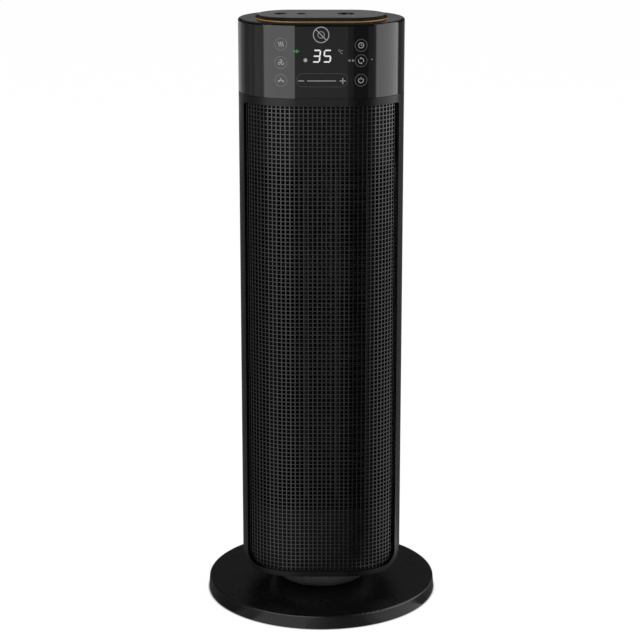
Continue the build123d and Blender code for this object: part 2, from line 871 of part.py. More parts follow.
def duct_base():
    """Floor of the air duct on four columns."""
    body = plan(duct_inset, duct_floor, duct_floor + duct_plate)
    for x, y in duct_legs():
        body += post(x, y, pan_top, duct_floor + join, duct_leg_radius)
    return body - post(0, wheel_y, duct_floor - 1, duct_floor + duct_plate + 1, wheel_hub_radius + 1)


def duct_cap():
    """Ceiling of the air duct, with columns up to the head deck."""
    body = plan(duct_inset, duct_ceiling, duct_ceiling + duct_plate)
    for x, y in duct_legs():
        body += post(x, y, duct_ceiling + duct_plate - join, head_deck_bottom, duct_leg_radius)
    return body - post(0, wheel_y, duct_ceiling - 1, duct_ceiling + duct_plate + 1,
                       bush_radius + running_gap)


def lower_screen():
    """Dark panel behind the mesh that closes the space under the duct."""
    inset = pan_inset + fit_gap
    top = duct_floor + duct_plate
    panel = skin(inset, screen_wall, tower_width / 2 - screen_side_inset, pan_top, top, screen_corner, True)
    return panel & elevation_cut(inset, pan_top, top + 1)


def upper_screen():
    """Dark panel behind the mesh that closes the space over the duct."""
    top = head_deck_bottom - screw_head_height - fit_gap
    return skin(duct_inset, screen_wall, tower_width / 2 - screen_side_inset, duct_ceiling + duct_plate,
                top, screen_corner, True)


def scroll_wall():
    """Curved wall that gathers the air on one side of the wheel."""
    low = duct_floor + duct_plate
    r = wheel_radius + scroll_gap
    outer = r + duct_wall
    knee_y = wheel_y - r * scroll_knee
    knee_x = -math.sqrt(r * r - (wheel_y - knee_y) ** 2) - duct_wall / 2
    arc = ring(r, outer, low, duct_ceiling, 0, wheel_y)
    arc &= block(-outer - 1, -r * scroll_cut, knee_y, tower_depth, low, duct_ceiling)
    return arc + upright_strip((knee_x, knee_y), (-mouth_half_width, mouth_y), low, duct_ceiling)


def tongue_wall():
    """Straight wall with a lip beside the wheel on the other side."""
    low = duct_floor + duct_plate
    r = wheel_radius + tongue_gap + duct_wall
    turn = math.radians(tongue_turn)
    start = (r * math.cos(turn), wheel_y + r * math.sin(turn))
    wall = upright_strip(start, (mouth_half_width, mouth_y), low, duct_ceiling)
    return wall + upright_strip(start, (start[0] + lip_x, start[1] + lip_y), low, duct_ceiling)


def upright_strip(a, b, low, high):
    """Thin upright wall from a to b."""
    length = math.dist(a, b)
    turn = math.degrees(math.atan2(b[1] - a[1], b[0] - a[0]))
    sheet = Box(length, duct_wall, high - low)
    return Pos((a[0] + b[0]) / 2, (a[1] + b[1]) / 2, (low + high) / 2) * Rot(0, 0, turn) * sheet


def blade_face():
    """Section of one blade, bowed towards the way it turns."""
    mid_radius = (wheel_radius + wheel_inner) / 2
    inner = (wheel_inner, -blade_sweep)
    middle = (mid_radius, -blade_sweep / 2 - blade_bow)
    outer = (wheel_radius - blade_tip_gap, 0.0)
    front = ThreePointArc(inner, middle, outer)
    back = ThreePointArc(*[(x, y + blade_wall) for x, y in (outer, middle, inner)])
    ends = Line(outer, (outer[0], outer[1] + blade_wall)) + Line((inner[0], inner[1] + blade_wall), inner)
    return make_face(front + back + ends)


def blower_wheel():
    """Cross-flow wheel with curved blades between discs."""
    length = wheel_top - wheel_bottom
    blades = []
    for i in range(wheel_blades):
        turn = Rot(0, 0, 360.0 * i / wheel_blades)
        blades.append(extrude(Pos(0, wheel_y, wheel_bottom) * turn * blade_face(), length))
    step = (length - wheel_disc) / wheel_stages
    body = post(0, wheel_y, wheel_bottom, wheel_bottom + wheel_disc, wheel_radius)
    body += post(0, wheel_y, wheel_top - wheel_disc, wheel_top, wheel_radius)
    rings = []
    for k in range(1, wheel_stages):
        z = wheel_bottom + k * step
        rings.append(ring(wheel_inner - wheel_ring_room, wheel_radius, z, z + wheel_disc, 0, wheel_y))
    body = body + rings + blades
    body += post(0, wheel_y, wheel_bottom, wheel_bottom + wheel_hub_height, wheel_hub_radius)
    body += post(0, wheel_y, wheel_top - wheel_hub_height, wheel_top, wheel_hub_radius)
    return body - post(0, wheel_y, wheel_bottom - 1, wheel_top + 1, shaft_radius)


def motor_top():
    """Height of the motor can's upper face."""
    return duct_floor - motor_drop


def motor_bottom():
    """Height of the motor can's underside."""
    return motor_top() - motor_can_height


def blower_shaft():
    """Steel shaft through motor and wheel."""
    top = duct_ceiling + duct_plate + bush_flange_height + shaft_stub
    return post(0, wheel_y, motor_bottom() - shaft_stub, top, shaft_radius)


def motor_rotor():
    """Rotor of the blower motor, on the shaft."""
    low = motor_bottom() + 2 * motor_can_wall
    radius = motor_can_radius - motor_can_wall - slip_gap - stator_wall - rotor_gap
    return ring(shaft_radius, radius, low, motor_top() - 2 * motor_can_wall, 0, wheel_y)


def motor_stator():
    """Ring of iron and windings round the rotor."""
    outer = motor_can_radius - motor_can_wall - slip_gap
    low = motor_bottom() + motor_can_wall
    return ring(outer - stator_wall, outer, low, motor_top() - motor_can_wall, 0, wheel_y)


def motor_can():
    """Steel can of the motor, hung under the duct floor."""
    low = motor_bottom()
    high = motor_top()
    can = post(0, wheel_y, low, high, motor_can_radius)
    can -= post(0, wheel_y, low + motor_can_wall, high - motor_can_wall, motor_can_radius - motor_can_wall)
    can -= post(0, wheel_y, low - 1, high + 1, shaft_radius + running_gap)
    for x, y in polar(4, motor_can_radius - motor_leg_inset, 45.0):
        can += post(x, y + wheel_y, high - join, duct_floor, motor_leg_radius)
    return can


def top_bush():
    """Bearing bush for the top of the shaft."""
    low = duct_ceiling
    high = duct_ceiling + duct_plate + bush_flange_height
    body = post(0, wheel_y, low, high, bush_radius)
    body += post(0, wheel_y, high - bush_flange_height, high, bush_flange)
    return body - post(0, wheel_y, low - 1, high + 1, shaft_radius + running_gap)


def ptc_half():
    """Half width of the heater frame."""
    return mouth_half_width - mouth_ptc_gap


def ptc_frame():
    """Heat-proof frame in the mouth of the duct."""
    low = duct_floor + duct_plate
    half = ptc_half()
    y0 = ptc_frame_front
    y1 = y0 + ptc_frame_depth
    outer = block(-half, half, y0, y1, low, duct_ceiling)
    w = ptc_frame_wall
    return outer - block(-half + w, half - w, y0 - 1, y1 + 1, low + w, duct_ceiling - w)


def ptc_core():
    """Heating element: upright bars joined by thin fins."""
    half = ptc_half() - ptc_frame_wall - slip_gap
    low = duct_floor + duct_plate + ptc_frame_wall + slip_gap
    high = duct_ceiling - ptc_frame_wall - slip_gap
    y0 = ptc_frame_front + (ptc_frame_depth - ptc_depth) / 2
    pieces = []
    for i in range(ptc_bars):
        x = -half + (2 * half - ptc_bar_wall) * i / (ptc_bars - 1)
        pieces.append(block(x, x + ptc_bar_wall, y0, y0 + ptc_depth, low, high))
    for i in range(ptc_fins):
        z = low + (high - low - ptc_fin_wall) * i / (ptc_fins - 1)
        pieces.append(block(-half, half, y0 + ptc_fin_inset, y0 + ptc_depth - ptc_fin_inset,
                            z, z + ptc_fin_wall))
    return pieces[0] + pieces[1:]


def thermal_cutout():
    """Thermostat that breaks the circuit, on top of the duct."""
    low = duct_ceiling + duct_plate
    y = ptc_frame_front + cutout_radius
    body = post(0, y, low, low + cutout_height, cutout_radius)
    for sx in (-1, 1):
        x = sx * cutout_radius / 2
        top = low + cutout_height + tab_height
        body += block(x - tab_width / 2, x + tab_width / 2, y - tab_wall / 2, y + tab_wall / 2, low, top)
    return body


# Power electronics

def power_level():
    """Height of the power board's underside."""
    return duct_ceiling + duct_plate + cutout_height + tab_height + power_lift


def power_board():
    """Mains board on four pillars above the duct."""
    low = power_level()
    half = power_width / 2
    body = block(-half, half, power_y - power_depth / 2, power_y + power_depth / 2, low, low + board_wall)
    for sx in (-1, 1):
        for sy in (-1, 1):
            x = sx * (half - power_leg_inset)
            y = power_y + sy * (power_depth / 2 - power_leg_inset)
            body += post(x, y, duct_ceiling + duct_plate, low + join, power_leg_radius)
    return body


def relays():
    """Two relays that switch the heat."""
    low = power_level() + board_wall
    half = relay_size / 2
    y0 = power_y - power_depth / 2 + relay_margin
    out = []
    for i in range(2):
        x = relay_first_x + i * relay_pitch
        out.append(block(x - half, x + half, y0, y0 + relay_size, low, low + relay_height))
    return group(out)


def terminal_block():
    """Screw terminals for the mains leads."""
    low = power_level() + board_wall
    y0 = power_y + block_offset
    body = block(block_left, block_left + block_width, y0, y0 + block_depth, low, low + block_height)
    cutters = []
    for i in range(block_ways):
        x = block_left + block_width * (i + 0.5) / block_ways
        top = low + block_height
        cutters.append(post(x, y0 + block_depth / 2, top - block_well, top + 1, block_well_radius))
    return body - cutters


def tilt_switch():
    """Sealed ball switch that cuts the heat if the heater falls."""
    low = power_level() + board_wall
    return post(tilt_x, power_y - tilt_height, low, low + tilt_height, tilt_radius)


# Head

def head_deck():
    """Plate between tower and head."""
    deck = plan(inner_inset, head_deck_bottom, head_deck_top)
    for x, y in four_ways(boss_x, boss_y) + four_ways(head_boss_x, head_boss_y()):
        deck -= post(x, y, 0, head_rim, screw_radius + slip_gap)
    return deck - post(0, 0, 0, head_rim, deck_lead_hole)


def head_boss_y():
    """Distance of the head's bosses from the middle, against the wall."""
    return math.sqrt(head_boss_reach ** 2 - (head_boss_x - end_centre) ** 2)


def deck_screws():
    """Screws from the deck down into the shells."""
    return group([screw(x, y, head_deck_top, -1) for x, y in four_ways(boss_x, boss_y)])


def head_screws():
    """Screws from under the deck up into the head."""
    spots = four_ways(head_boss_x, head_boss_y())
    return group([screw(x, y, head_deck_bottom, 1) for x, y in spots])


def head_shell():
    """Glossy cover of the head; the keys and display show through its front."""
    outer = plan(0, head_bottom, head_rim)
    rim = outer.faces().sort_by(Axis.Z)[-1].edges()
    outer = fillet(rim, head_edge_radius)
    shell = outer - plan(shell_wall, head_bottom - 1, head_rim - top_plate_thickness)
    shell -= plan(top_hole_inset, head_rim - top_plate_thickness - 1, head_rim + 1)
    for x, y in four_ways(head_boss_x, head_boss_y()):
        boss = post(x, y, head_deck_top, head_bottom + head_boss_height, head_boss_radius)
        boss &= plan(shell_wall / 2, head_bottom, head_rim) + plan(inner_inset, 0, head_bottom)
        shell += boss
        shell -= post(x, y, head_deck_top - 1, head_bottom + screw_length, screw_radius)
    for x, y in ring_pegs():
        shell += post(x, y, ring_board_top, head_rim - top_plate_thickness + join, peg_radius)
    return shell


def ring_pegs():
    """Pegs under the top that carry the ring's board."""
    reach = ring_board_outer_inset + peg_radius + peg_margin
    return [(tower_width / 2 - reach, 0), (-tower_width / 2 + reach, 0),
            (0, tower_depth / 2 - reach), (0, -tower_depth / 2 + reach)]


def light_ring():
    """Amber light guide round the foot of the top disc."""
    outer = top_hole_inset + slip_gap
    low = head_rim - ring_sink
    high = head_rim + ring_show
    return plan(outer, low, high) - plan(outer + ring_wall, low - 1, high + 1)


def ring_board():
    """Board with the lamps of the ring."""
    low = ring_board_top - board_wall
    middle = plan(ring_board_inner_inset, low - 1, ring_board_top + 1)
    return plan(ring_board_outer_inset, low, ring_board_top) - middle


def ring_leds():
    """Small lamps under the light guide."""
    inset = top_hole_inset + slip_gap + ring_wall / 2
    half = led_count // 2
    out = []
    for sy in (-1, 1):
        for i in range(half):
            x = led_reach * (2 * i / (half - 1) - 1)
            y = sy * (end_radius - inset)
            out.append(block(x - led_length / 2, x + led_length / 2, y - led_width / 2, y + led_width / 2,
                             ring_board_top, ring_board_top + led_height))
    return group(out)


def top_disc():
    """Flat plate on top of the head, sloping down to the light ring."""
    plug_inset = top_hole_inset + slip_gap + ring_wall + slip_gap
    plug = plan(plug_inset, ring_board_top, head_rim + ring_show + disc_foot_gap)
    foot_inset = top_hole_inset + slip_gap
    low = head_rim + ring_show + disc_foot_gap
    foot = Pos(0, 0, low) * SlotOverall(tower_width - 2 * foot_inset, tower_depth - 2 * foot_inset)
    crown = Pos(0, 0, head_rim + disc_rise) * SlotOverall(disc_top_width, disc_top_depth)
    disc = plug + loft([foot, crown])
    for x, radius in top_wells:
        disc -= post(x, 0, head_rim + disc_rise - well_depth, head_rim + disc_rise + 1, radius)
    return disc


def control_board():
    """Board behind the front of the head."""
    half = control_width / 2
    return block(-half, half, control_back, control_back + board_wall, control_bottom, control_top)


def board_holder():
    """Two uprights on the deck that hold the control board."""
    back = control_back + board_wall
    out = []
    for sx in (-1, 1):
        x = sx * (control_width / 2 - holder_width)
        out.append(block(x - holder_width / 2, x + holder_width / 2, back, back + holder_depth,
                         head_deck_top, control_top))
    half = control_width / 2 - holder_width
    foot = block(-half, half, back, back + holder_depth, head_deck_top, head_deck_top + holder_bar)
    return out[0] + out[1] + foot


def display_module():
    """Two-digit lamp block behind the glossy front."""
    half = display_width / 2
    front = -(end_radius - inner_inset)
    return block(-half, half, front, control_back, display_bottom, display_top)


def touch_pads():
    """Springy contact pads behind the touch keys and the slider."""
    front = -(end_radius - inner_inset)
    spots = [(sx * key_x, z) for sx in (-1, 1) for z in key_heights]
    spots += [(x, key_heights[0]) for x in slider_keys]
    out = []
    for x, z in spots:
        length = control_back - front
        pad = Pos(x, front + length / 2, z) * Rot(90, 0, 0) * Cylinder(pad_radius, length)
        out.append(pad & plan(inner_inset, head_bottom, head_rim))
    return group(out)


def buzzer():
    """Sounder on the back of the control board."""
    y = control_back + board_wall
    can = Rot(90, 0, 0) * Cylinder(buzzer_radius, buzzer_height)
    return Pos(buzzer_x, y + buzzer_height / 2, buzzer_z) * can


def build_all():
    """Every piece by the name of its node."""
    makers = [
        base_shell, base_plate, rubber_feet, base_screws, swivel_post, thrust_washer, swing_gear, post_nut,
        cord_gland, neck_bowl, bowl_screws, bottom_pan, pan_screws, swing_deck, swing_motor, swing_pinion,
        front_frame, mesh_middle, mesh_left, mesh_right, rear_shell, intake_grille, handle_cup,
        rocker_housing, power_rocker, duct_base, duct_cap, lower_screen, upper_screen, scroll_wall,
        tongue_wall, blower_wheel, blower_shaft, motor_rotor, motor_stator, motor_can, top_bush, ptc_frame,
        ptc_core, thermal_cutout, power_board, relays, terminal_block, tilt_switch, head_deck, deck_screws,
        head_screws, head_shell, light_ring, ring_board, ring_leds, top_disc, control_board, board_holder,
        display_module, touch_pads, buzzer,
    ]
    return {maker.__name__: maker() for maker in makers}


def main():
    """Build the pieces and write one file for each."""
    os.makedirs("parts", exist_ok=True)
    for name, shape in build_all().items():
        export_step(shape, f"parts/{name}.step")


main()
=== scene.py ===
"""Looks of the tower fan heater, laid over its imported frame.

The frame brings the heater's solids. This file gives them their finishes, lays the
fine wire mesh, the screens of the back, the lit marks of the touch head and the marks
of the mains switch over them, and sets up the studio and the camera. Sizes on the
heater are in millimetres, and sizes of the studio in metres.
"""
import json
import logging
import math
from dataclasses import dataclass
from enum import Enum
from typing import Any, Callable, Iterable, Sequence

import bpy
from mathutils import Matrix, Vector


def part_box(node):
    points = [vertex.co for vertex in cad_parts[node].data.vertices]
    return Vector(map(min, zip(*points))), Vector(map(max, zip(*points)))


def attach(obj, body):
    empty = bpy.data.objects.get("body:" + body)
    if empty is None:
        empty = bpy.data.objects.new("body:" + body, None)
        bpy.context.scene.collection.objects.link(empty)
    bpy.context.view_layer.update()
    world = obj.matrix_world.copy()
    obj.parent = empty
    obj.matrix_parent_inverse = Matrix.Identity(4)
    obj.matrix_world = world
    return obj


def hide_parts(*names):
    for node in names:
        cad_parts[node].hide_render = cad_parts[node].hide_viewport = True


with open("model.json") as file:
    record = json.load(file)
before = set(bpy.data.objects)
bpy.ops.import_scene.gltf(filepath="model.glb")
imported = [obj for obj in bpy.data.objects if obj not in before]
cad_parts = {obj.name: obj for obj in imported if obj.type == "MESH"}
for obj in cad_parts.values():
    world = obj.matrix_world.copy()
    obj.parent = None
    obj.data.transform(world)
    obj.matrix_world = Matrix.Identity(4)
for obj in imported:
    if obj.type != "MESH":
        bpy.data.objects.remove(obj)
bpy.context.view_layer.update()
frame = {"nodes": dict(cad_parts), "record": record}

log = logging.getLogger("tower_heater")

MM = 0.001
MARK_THICKNESS = 0.04
WAVE_TURN = 6.28  # bands of Blender's Wave texture come this much closer than its scale says
MIX_LOW, MIX_HIGH, MIX_RESULT = 6, 7, 2  # colour sockets of Blender's Mix node
Colour = tuple[float, float, float]
Spot = tuple[float, float]
Place = tuple[float, float, float]
Stroke = tuple[Sequence[Spot], float]
Socket = bpy.types.NodeSocket
Material = bpy.types.Material
Piece = bpy.types.Object

WHITE: Colour = (1.0, 1.0, 1.0)
BLACK: Colour = (0.0, 0.0, 0.0)


def grey(level: float, blue: float = 0.0) -> Colour:
    """Grey of one level, with its blue raised a little."""
    return level, level, level + blue


def shade(colour: Colour, factor: float) -> Colour:
    """The colour made darker or lighter by a factor."""
    return tuple(min(channel * factor, 1.0) for channel in colour)


# Finishes

class Grain(Enum):
    """How a moulded skin is broken up."""

    FINE = "fine"
    LEATHERY = "leathery"


class MetalSkin(Enum):
    """How a bare metal was worked: size of its lines, their stretch upwards and their height."""

    PLATED = (5.0, 1.0, 0.008)
    DRAWN = (0.5, 0.06, 0.008)
    CAST = (1.2, 1.0, 0.03)


class Tree:
    """Node tree, with short ways to add and join nodes."""

    def __init__(self, tree: bpy.types.NodeTree) -> None:
        """Take over a tree and empty it."""
        self.tree = tree
        tree.nodes.clear()

    def feed(self, target: Socket, value: Any) -> None:
        """Give an input what it needs.

        Args:
            target: The input.
            value: An output to join to it, a colour, a vector or a number.
        """
        if isinstance(value, Socket):
            self.tree.links.new(value, target)
        else:
            target.default_value = (*value, 1.0) if target.type == "RGBA" else value

    def add(self, kind: str, inputs: dict[str | int, Any] | None = None,
            **settings: Any) -> bpy.types.Node:
        """Add a node.

        Args:
            kind: Blender's name of the node type, without its common start.
            inputs: What its inputs get, by name or number.
            settings: Its properties, by name.

        Returns:
            The new node.
        """
        node = self.tree.nodes.new("ShaderNode" + kind)
        for key, value in settings.items():
            setattr(node, key, value)
        for key, value in (inputs or {}).items():
            self.feed(node.inputs[key], value)
        return node

    def reckon(self, kind: str, first: Socket, second: Socket | float) -> Socket:
        """Work two patterns, or a pattern and a number, into one by an operation."""
        return self.add("Math", {0: first, 1: second}, operation=kind).outputs[0]

    def ranged(self, source: Socket, low: float, high: float, start: float = 0.3,
               stop: float = 0.7) -> Socket:
        """Let a pattern run from low to high while it rises from start to stop."""
        ends = {"From Min": start, "From Max": stop, "To Min": low, "To Max": high, "Value": source}
        return self.add("MapRange", ends).outputs["Result"]

    def blend(self, amount: Socket, low: Colour, high: Colour | Socket) -> Socket:
        """Colour that runs from low to high as the amount goes from 0 to 1."""
        ends = {"Factor": amount, MIX_LOW: low, MIX_HIGH: high}
        return self.add("Mix", ends, data_type="RGBA").outputs[MIX_RESULT]

    def background_rays(self) -> Socket:
        """Share of the rays that see the background.

        Returns:
            1 for the camera's, glossy and transmitted rays, otherwise 0.
        """
        path = self.add("LightPath")
        total = path.outputs["Is Camera Ray"]
        for name in ("Is Glossy Ray", "Is Transmission Ray"):
            total = self.reckon("MAXIMUM", total, path.outputs[name])
        return total


class Recipe(Tree):
    """Node tree of one material, which ends in the usual surface shader."""

    def __init__(self, name: str) -> None:
        """Start the material.

        Args:
            name: Its name.
        """
        self.material = bpy.data.materials.new(name)
        self.material.use_nodes = True
        super().__init__(self.material.node_tree)
        self.surface = self.add("BsdfPrincipled")
        self.output = self.add("OutputMaterial", {"Surface": self.surface.outputs["BSDF"]})
        self.place = self.add("TexCoord").outputs["Object"]

    def set(self, **values: Any) -> None:
        """Feed the surface shader's inputs, by name with underscores for spaces."""
        for key, value in values.items():
            self.feed(self.surface.inputs[key.replace("_", " ")], value)

    def texture(self, kind: str, size: float, place: Socket | None = None,
                **values: Any) -> bpy.types.Node:
        """Add a texture with features of a real size.

        Args:
            kind: Blender's name of the texture.
            size: Size of the features.
            place: Coordinates to use instead of the object's own.
            values: What its other inputs get, by name with underscores for spaces.

        Returns:
            The texture's node.
        """
        inputs = {key.replace("_", " "): value for key, value in values.items()}
        return self.add("Tex" + kind, {"Scale": 1.0 / (size * MM), "Vector": place or self.place, **inputs})

    def noise(self, size: float, detail: float = 2.0, place: Socket | None = None,
              rough: float = 0.5) -> Socket:
        """Cloudy pattern from 0 to 1, with finer layers as its detail says."""
        return self.texture("Noise", size, place, Detail=detail, Roughness=rough).outputs["Fac"]

    def cells(self, size: float) -> Socket:
        """Rounded cells, as distance from each cell's middle."""
        return self.texture("Voronoi", size).outputs["Distance"]

    def waves(self, size: float, axis: str, wobble: float = 0.0) -> Socket:
        """Even bands across an axis.

        Args:
            size: Distance between the bands.
            axis: The axis.
            wobble: How uneven the bands are.

        Returns:
            The pattern, from 0 to 1.
        """
        wave = self.texture("Wave", size * WAVE_TURN, Distortion=wobble)
        wave.bands_direction = axis
        return wave.outputs["Fac"]

    def stretched(self, upwards: float) -> Socket:
        """The object's coordinates, with the heights scaled for a pattern drawn out upwards."""
        return self.add("Mapping", {"Scale": (1.0, 1.0, upwards), "Vector": self.place}).outputs["Vector"]

    def along(self, axis: str) -> Socket:
        """The object's coordinate along an axis, in metres."""
        return self.add("SeparateXYZ", {"Vector": self.place}).outputs[axis]

    def tint(self, pattern: Socket, colour: Colour, low: float, high: float) -> None:
        """Let the base colour run between two shades of a colour with a pattern."""
        self.set(Base_Color=self.blend(pattern, shade(colour, low), shade(colour, high)))

    def polish(self, pattern: Socket, low: float, high: float) -> None:
        """Let the roughness run between two values with a pattern."""
        self.set(Roughness=self.ranged(pattern, low, high))

    def raise_by(self, pattern: Socket, height: float) -> None:
        """Turn a pattern into relief of a height."""
        bump = self.add("Bump", {"Distance": height * MM, "Strength": 1.0, "Height": pattern})
        self.set(Normal=bump.outputs["Normal"])


@dataclass(frozen=True)
class Finish:
    """Look of a surface, by name and main colour."""

    name: str
    colour: Colour

    def fill(self, recipe: Recipe) -> None:
        """Give a recipe the finish's colour, sheen and relief."""
        raise NotImplementedError

    def material(self) -> Material:
        """Make the material.

        Returns:
            The material.
        """
        recipe = Recipe(self.name)
        self.fill(recipe)
        return recipe.material


@dataclass(frozen=True)
class MouldedPlastic(Finish):
    """Plastic with the grain of its mould cast into the skin."""

    roughness: float = 0.5
    grain_size: float = 0.45
    grain_height: float = 0.02
    shine: float = 0.5
    grain: Grain = Grain.FINE
    cloud_size: float = 38.0
    speck_ratio: float = 2.2
    cell_ratio: float = 2.4

    def fill(self, recipe: Recipe) -> None:
        """Lay mottled colour, uneven sheen and a fine cast-in relief.

        Args:
            recipe: Recipe to fill.
        """
        cloud = recipe.noise(self.cloud_size, 3.0)
        speck = recipe.noise(self.grain_size * self.speck_ratio)
        mix = recipe.reckon("ADD", recipe.ranged(cloud, 0.0, 0.55), recipe.ranged(speck, 0.0, 0.45))
        recipe.tint(mix, self.colour, 0.8, 1.22)
        recipe.polish(mix, self.roughness - 0.05, self.roughness + 0.06)
        relief = recipe.noise(self.grain_size, rough=0.6)
        if self.grain is Grain.LEATHERY:
            relief = recipe.reckon("ADD", relief, recipe.cells(self.grain_size * self.cell_ratio))
        recipe.raise_by(relief, self.grain_height)
        recipe.set(Specular_IOR_Level=self.shine)


@dataclass(frozen=True)
class PianoGloss(Finish):
    """Deep black gloss with a faint waviness and a trace of handling."""

    roughness: float = 0.06
    haze: float = 0.05
    wipe_size: float = 26.0
    dust_size: float = 1.6
    wave_size: float = 9.0
    wave_height: float = 0.004

    def fill(self, recipe: Recipe) -> None:
        """Lay a dark base, wiped reflections and a slow waviness of the skin.

        Args:
            recipe: Recipe to fill.
        """
        wipe = recipe.noise(self.wipe_size, 4.0, recipe.stretched(0.35))
        dust = recipe.ranged(recipe.noise(self.dust_size, 1.0), 0.0, 1.0, 0.72, 0.8)
        recipe.tint(dust, self.colour, 1.0, 1.9)
        recipe.polish(wipe, self.roughness, self.roughness + self.haze)
        recipe.raise_by(recipe.noise(self.wave_size, 1.0), self.wave_height)


@dataclass(frozen=True)
class PaintedReflectionGloss(Finish):
    """Gloss black plate whose flat crown is satin, its grey a painted reflection of the pale surroundings."""

    painted_reflection: Colour
    crown: float = 623.1
    edge: Spot = (0.06, 0.02)
    roughness: float = 0.08
    cloud_size: float = 11.0
    grain_size: float = 0.5
    grain_height: float = 0.003

    def fill(self, recipe: Recipe) -> None:
        """Lay black below the crown's edge and in its wells, and on the crown a grey that is painted
        reflection.

        Args:
            recipe: Recipe to fill.
        """
        start, stop = ((self.crown - depth) * MM for depth in self.edge)
        crown = recipe.ranged(recipe.along("Z"), 0.0, 1.0, start, stop)
        cloud = recipe.noise(self.cloud_size, 4.0)
        # painted reflection: grey on the flat crown, varied by a random cloud
        painted_reflection = recipe.blend(cloud, shade(self.painted_reflection, 0.85), shade(self.painted_reflection, 1.12))
        satin = recipe.reckon("MULTIPLY", crown, recipe.ranged(cloud, 0.3, 0.4))
        recipe.set(Base_Color=recipe.blend(crown, self.colour, painted_reflection),
                   Roughness=recipe.reckon("ADD", satin, self.roughness))
        recipe.raise_by(recipe.noise(self.grain_size), self.grain_height)


@dataclass(frozen=True)
class PowderCoat(Finish):
    """Baked powder paint on metal, with its slight orange peel."""

    roughness: float = 0.42
    peel_size: float = 0.5
    peel_height: float = 0.012
    shine: float = 0.5
    cloud_size: float = 14.0

    def fill(self, recipe: Recipe) -> None:
        """Lay even dark paint with a soft peel and small changes in sheen.

        Args:
            recipe: Recipe to fill.
        """
        cloud = recipe.noise(self.cloud_size, 3.0)
        recipe.tint(cloud, self.colour, 0.78, 1.25)
        recipe.polish(cloud, self.roughness - 0.05, self.roughness + 0.07)
        recipe.raise_by(recipe.noise(self.peel_size), self.peel_height)
        recipe.set(Specular_IOR_Level=self.shine)


@dataclass(frozen=True)
class BareMetal(Finish):
    """Metal without paint, as its making left it."""

    skin: MetalSkin = MetalSkin.PLATED
    roughness: float = 0.3

    def fill(self, recipe: Recipe) -> None:
        """Lay lines or pits that follow how the metal was worked.

        Args:
            recipe: Recipe to fill.
        """
        size, upwards, height = self.skin.value
        lines = recipe.noise(size, 3.0, recipe.stretched(upwards))
        recipe.tint(lines, self.colour, 0.75, 1.15)
        recipe.polish(lines, self.roughness - 0.08, self.roughness + 0.12)
        recipe.raise_by(lines, height)
        recipe.set(Metallic=1.0)


@dataclass(frozen=True)
class FinnedAluminium(Finish):
    """Fins rippled between the bars of the heater; their dark colour is painted shade, darker still in the
    ripple troughs.
    """

    ripple: float = 2.4
    ripple_height: float = 0.4
    cloud_size: float = 6.0

    def fill(self, recipe: Recipe) -> None:
        """Lay ripples across the fins on a dull metal, with painted shade in the ripple troughs.

        Args:
            recipe: Recipe to fill.
        """
        ripple = recipe.waves(self.ripple, "X", 0.6)
        # painted shade: the colour follows the ripple, darker in its troughs
        recipe.tint(ripple, self.colour, 0.6, 1.3)
        recipe.polish(recipe.noise(self.cloud_size), 0.4, 0.6)
        recipe.raise_by(ripple, self.ripple_height)
        recipe.set(Metallic=0.7)


@dataclass(frozen=True)
class SoftRubber(Finish):
    """Soft rubber or foam with fine pores."""

    pore: float = 0.6
    pore_depth: float = 0.05
    dust_size: float = 8.0

    def fill(self, recipe: Recipe) -> None:
        """Lay a dull, slightly dusty skin with pores.

        Args:
            recipe: Recipe to fill.
        """
        pores = recipe.cells(self.pore)
        recipe.tint(recipe.noise(self.dust_size), self.colour, 0.8, 1.5)
        recipe.polish(pores, 0.78, 0.9)
        recipe.raise_by(pores, self.pore_depth)


@dataclass(frozen=True)
class CircuitBoard(Finish):
    """Laminate under green lacquer, with copper tracks showing through."""

    tile: float = 10.4
    track_height: float = 0.05
    lacquer_size: float = 5.0

    def fill(self, recipe: Recipe) -> None:
        """Lay tracks as slightly raised, lighter bands under the lacquer.

        Args:
            recipe: Recipe to fill.
        """
        bricks = recipe.texture("Brick", self.tile, Mortar_Size=0.05, Color1=BLACK, Color2=grey(0.12),
                                Mortar=WHITE)
        tracks = bricks.outputs["Color"]
        recipe.tint(tracks, self.colour, 1.0, 1.9)
        recipe.polish(recipe.noise(self.lacquer_size), 0.22, 0.36)
        recipe.raise_by(tracks, self.track_height)


@dataclass(frozen=True)
class WoundIron(Finish):
    """Stacked iron sheets with turns of lacquered copper between."""

    copper: Colour
    sheet: float = 0.7
    sheet_height: float = 0.15
    winding: float = 16.0

    def fill(self, recipe: Recipe) -> None:
        """Lay thin level sheets with patches of winding.

        Args:
            recipe: Recipe to fill.
        """
        sheets = recipe.waves(self.sheet, "Z")
        patch = recipe.ranged(recipe.noise(self.winding, 1.0), 0.0, 1.0, 0.5, 0.54)
        recipe.set(Base_Color=recipe.blend(patch, self.colour, self.copper), Metallic=0.85)
        recipe.polish(sheets, 0.35, 0.55)
        recipe.raise_by(sheets, self.sheet_height)


@dataclass(frozen=True)
class LightGuide(Finish):
    """Clear amber rod lit from below, deeper in colour towards its ends."""

    ends: Colour
    glow: float
    reach: float = 62.0
    spot_size: float = 7.0

    def fill(self, recipe: Recipe) -> None:
        """Lay a glow that turns from amber to orange away from the middle.

        Args:
            recipe: Recipe to fill.
        """
        away = recipe.reckon("ABSOLUTE", recipe.along("X"), 0.0)
        drift = recipe.ranged(away, 0.0, 1.0, 0.3 * self.reach * MM, self.reach * MM)
        spots = recipe.ranged(recipe.noise(self.spot_size, 1.0), -0.12, 0.12)
        tint = recipe.blend(recipe.reckon("ADD", drift, spots), self.colour, self.ends)
        recipe.set(Base_Color=tint, Emission_Color=tint, Emission_Strength=self.glow, Roughness=0.18)


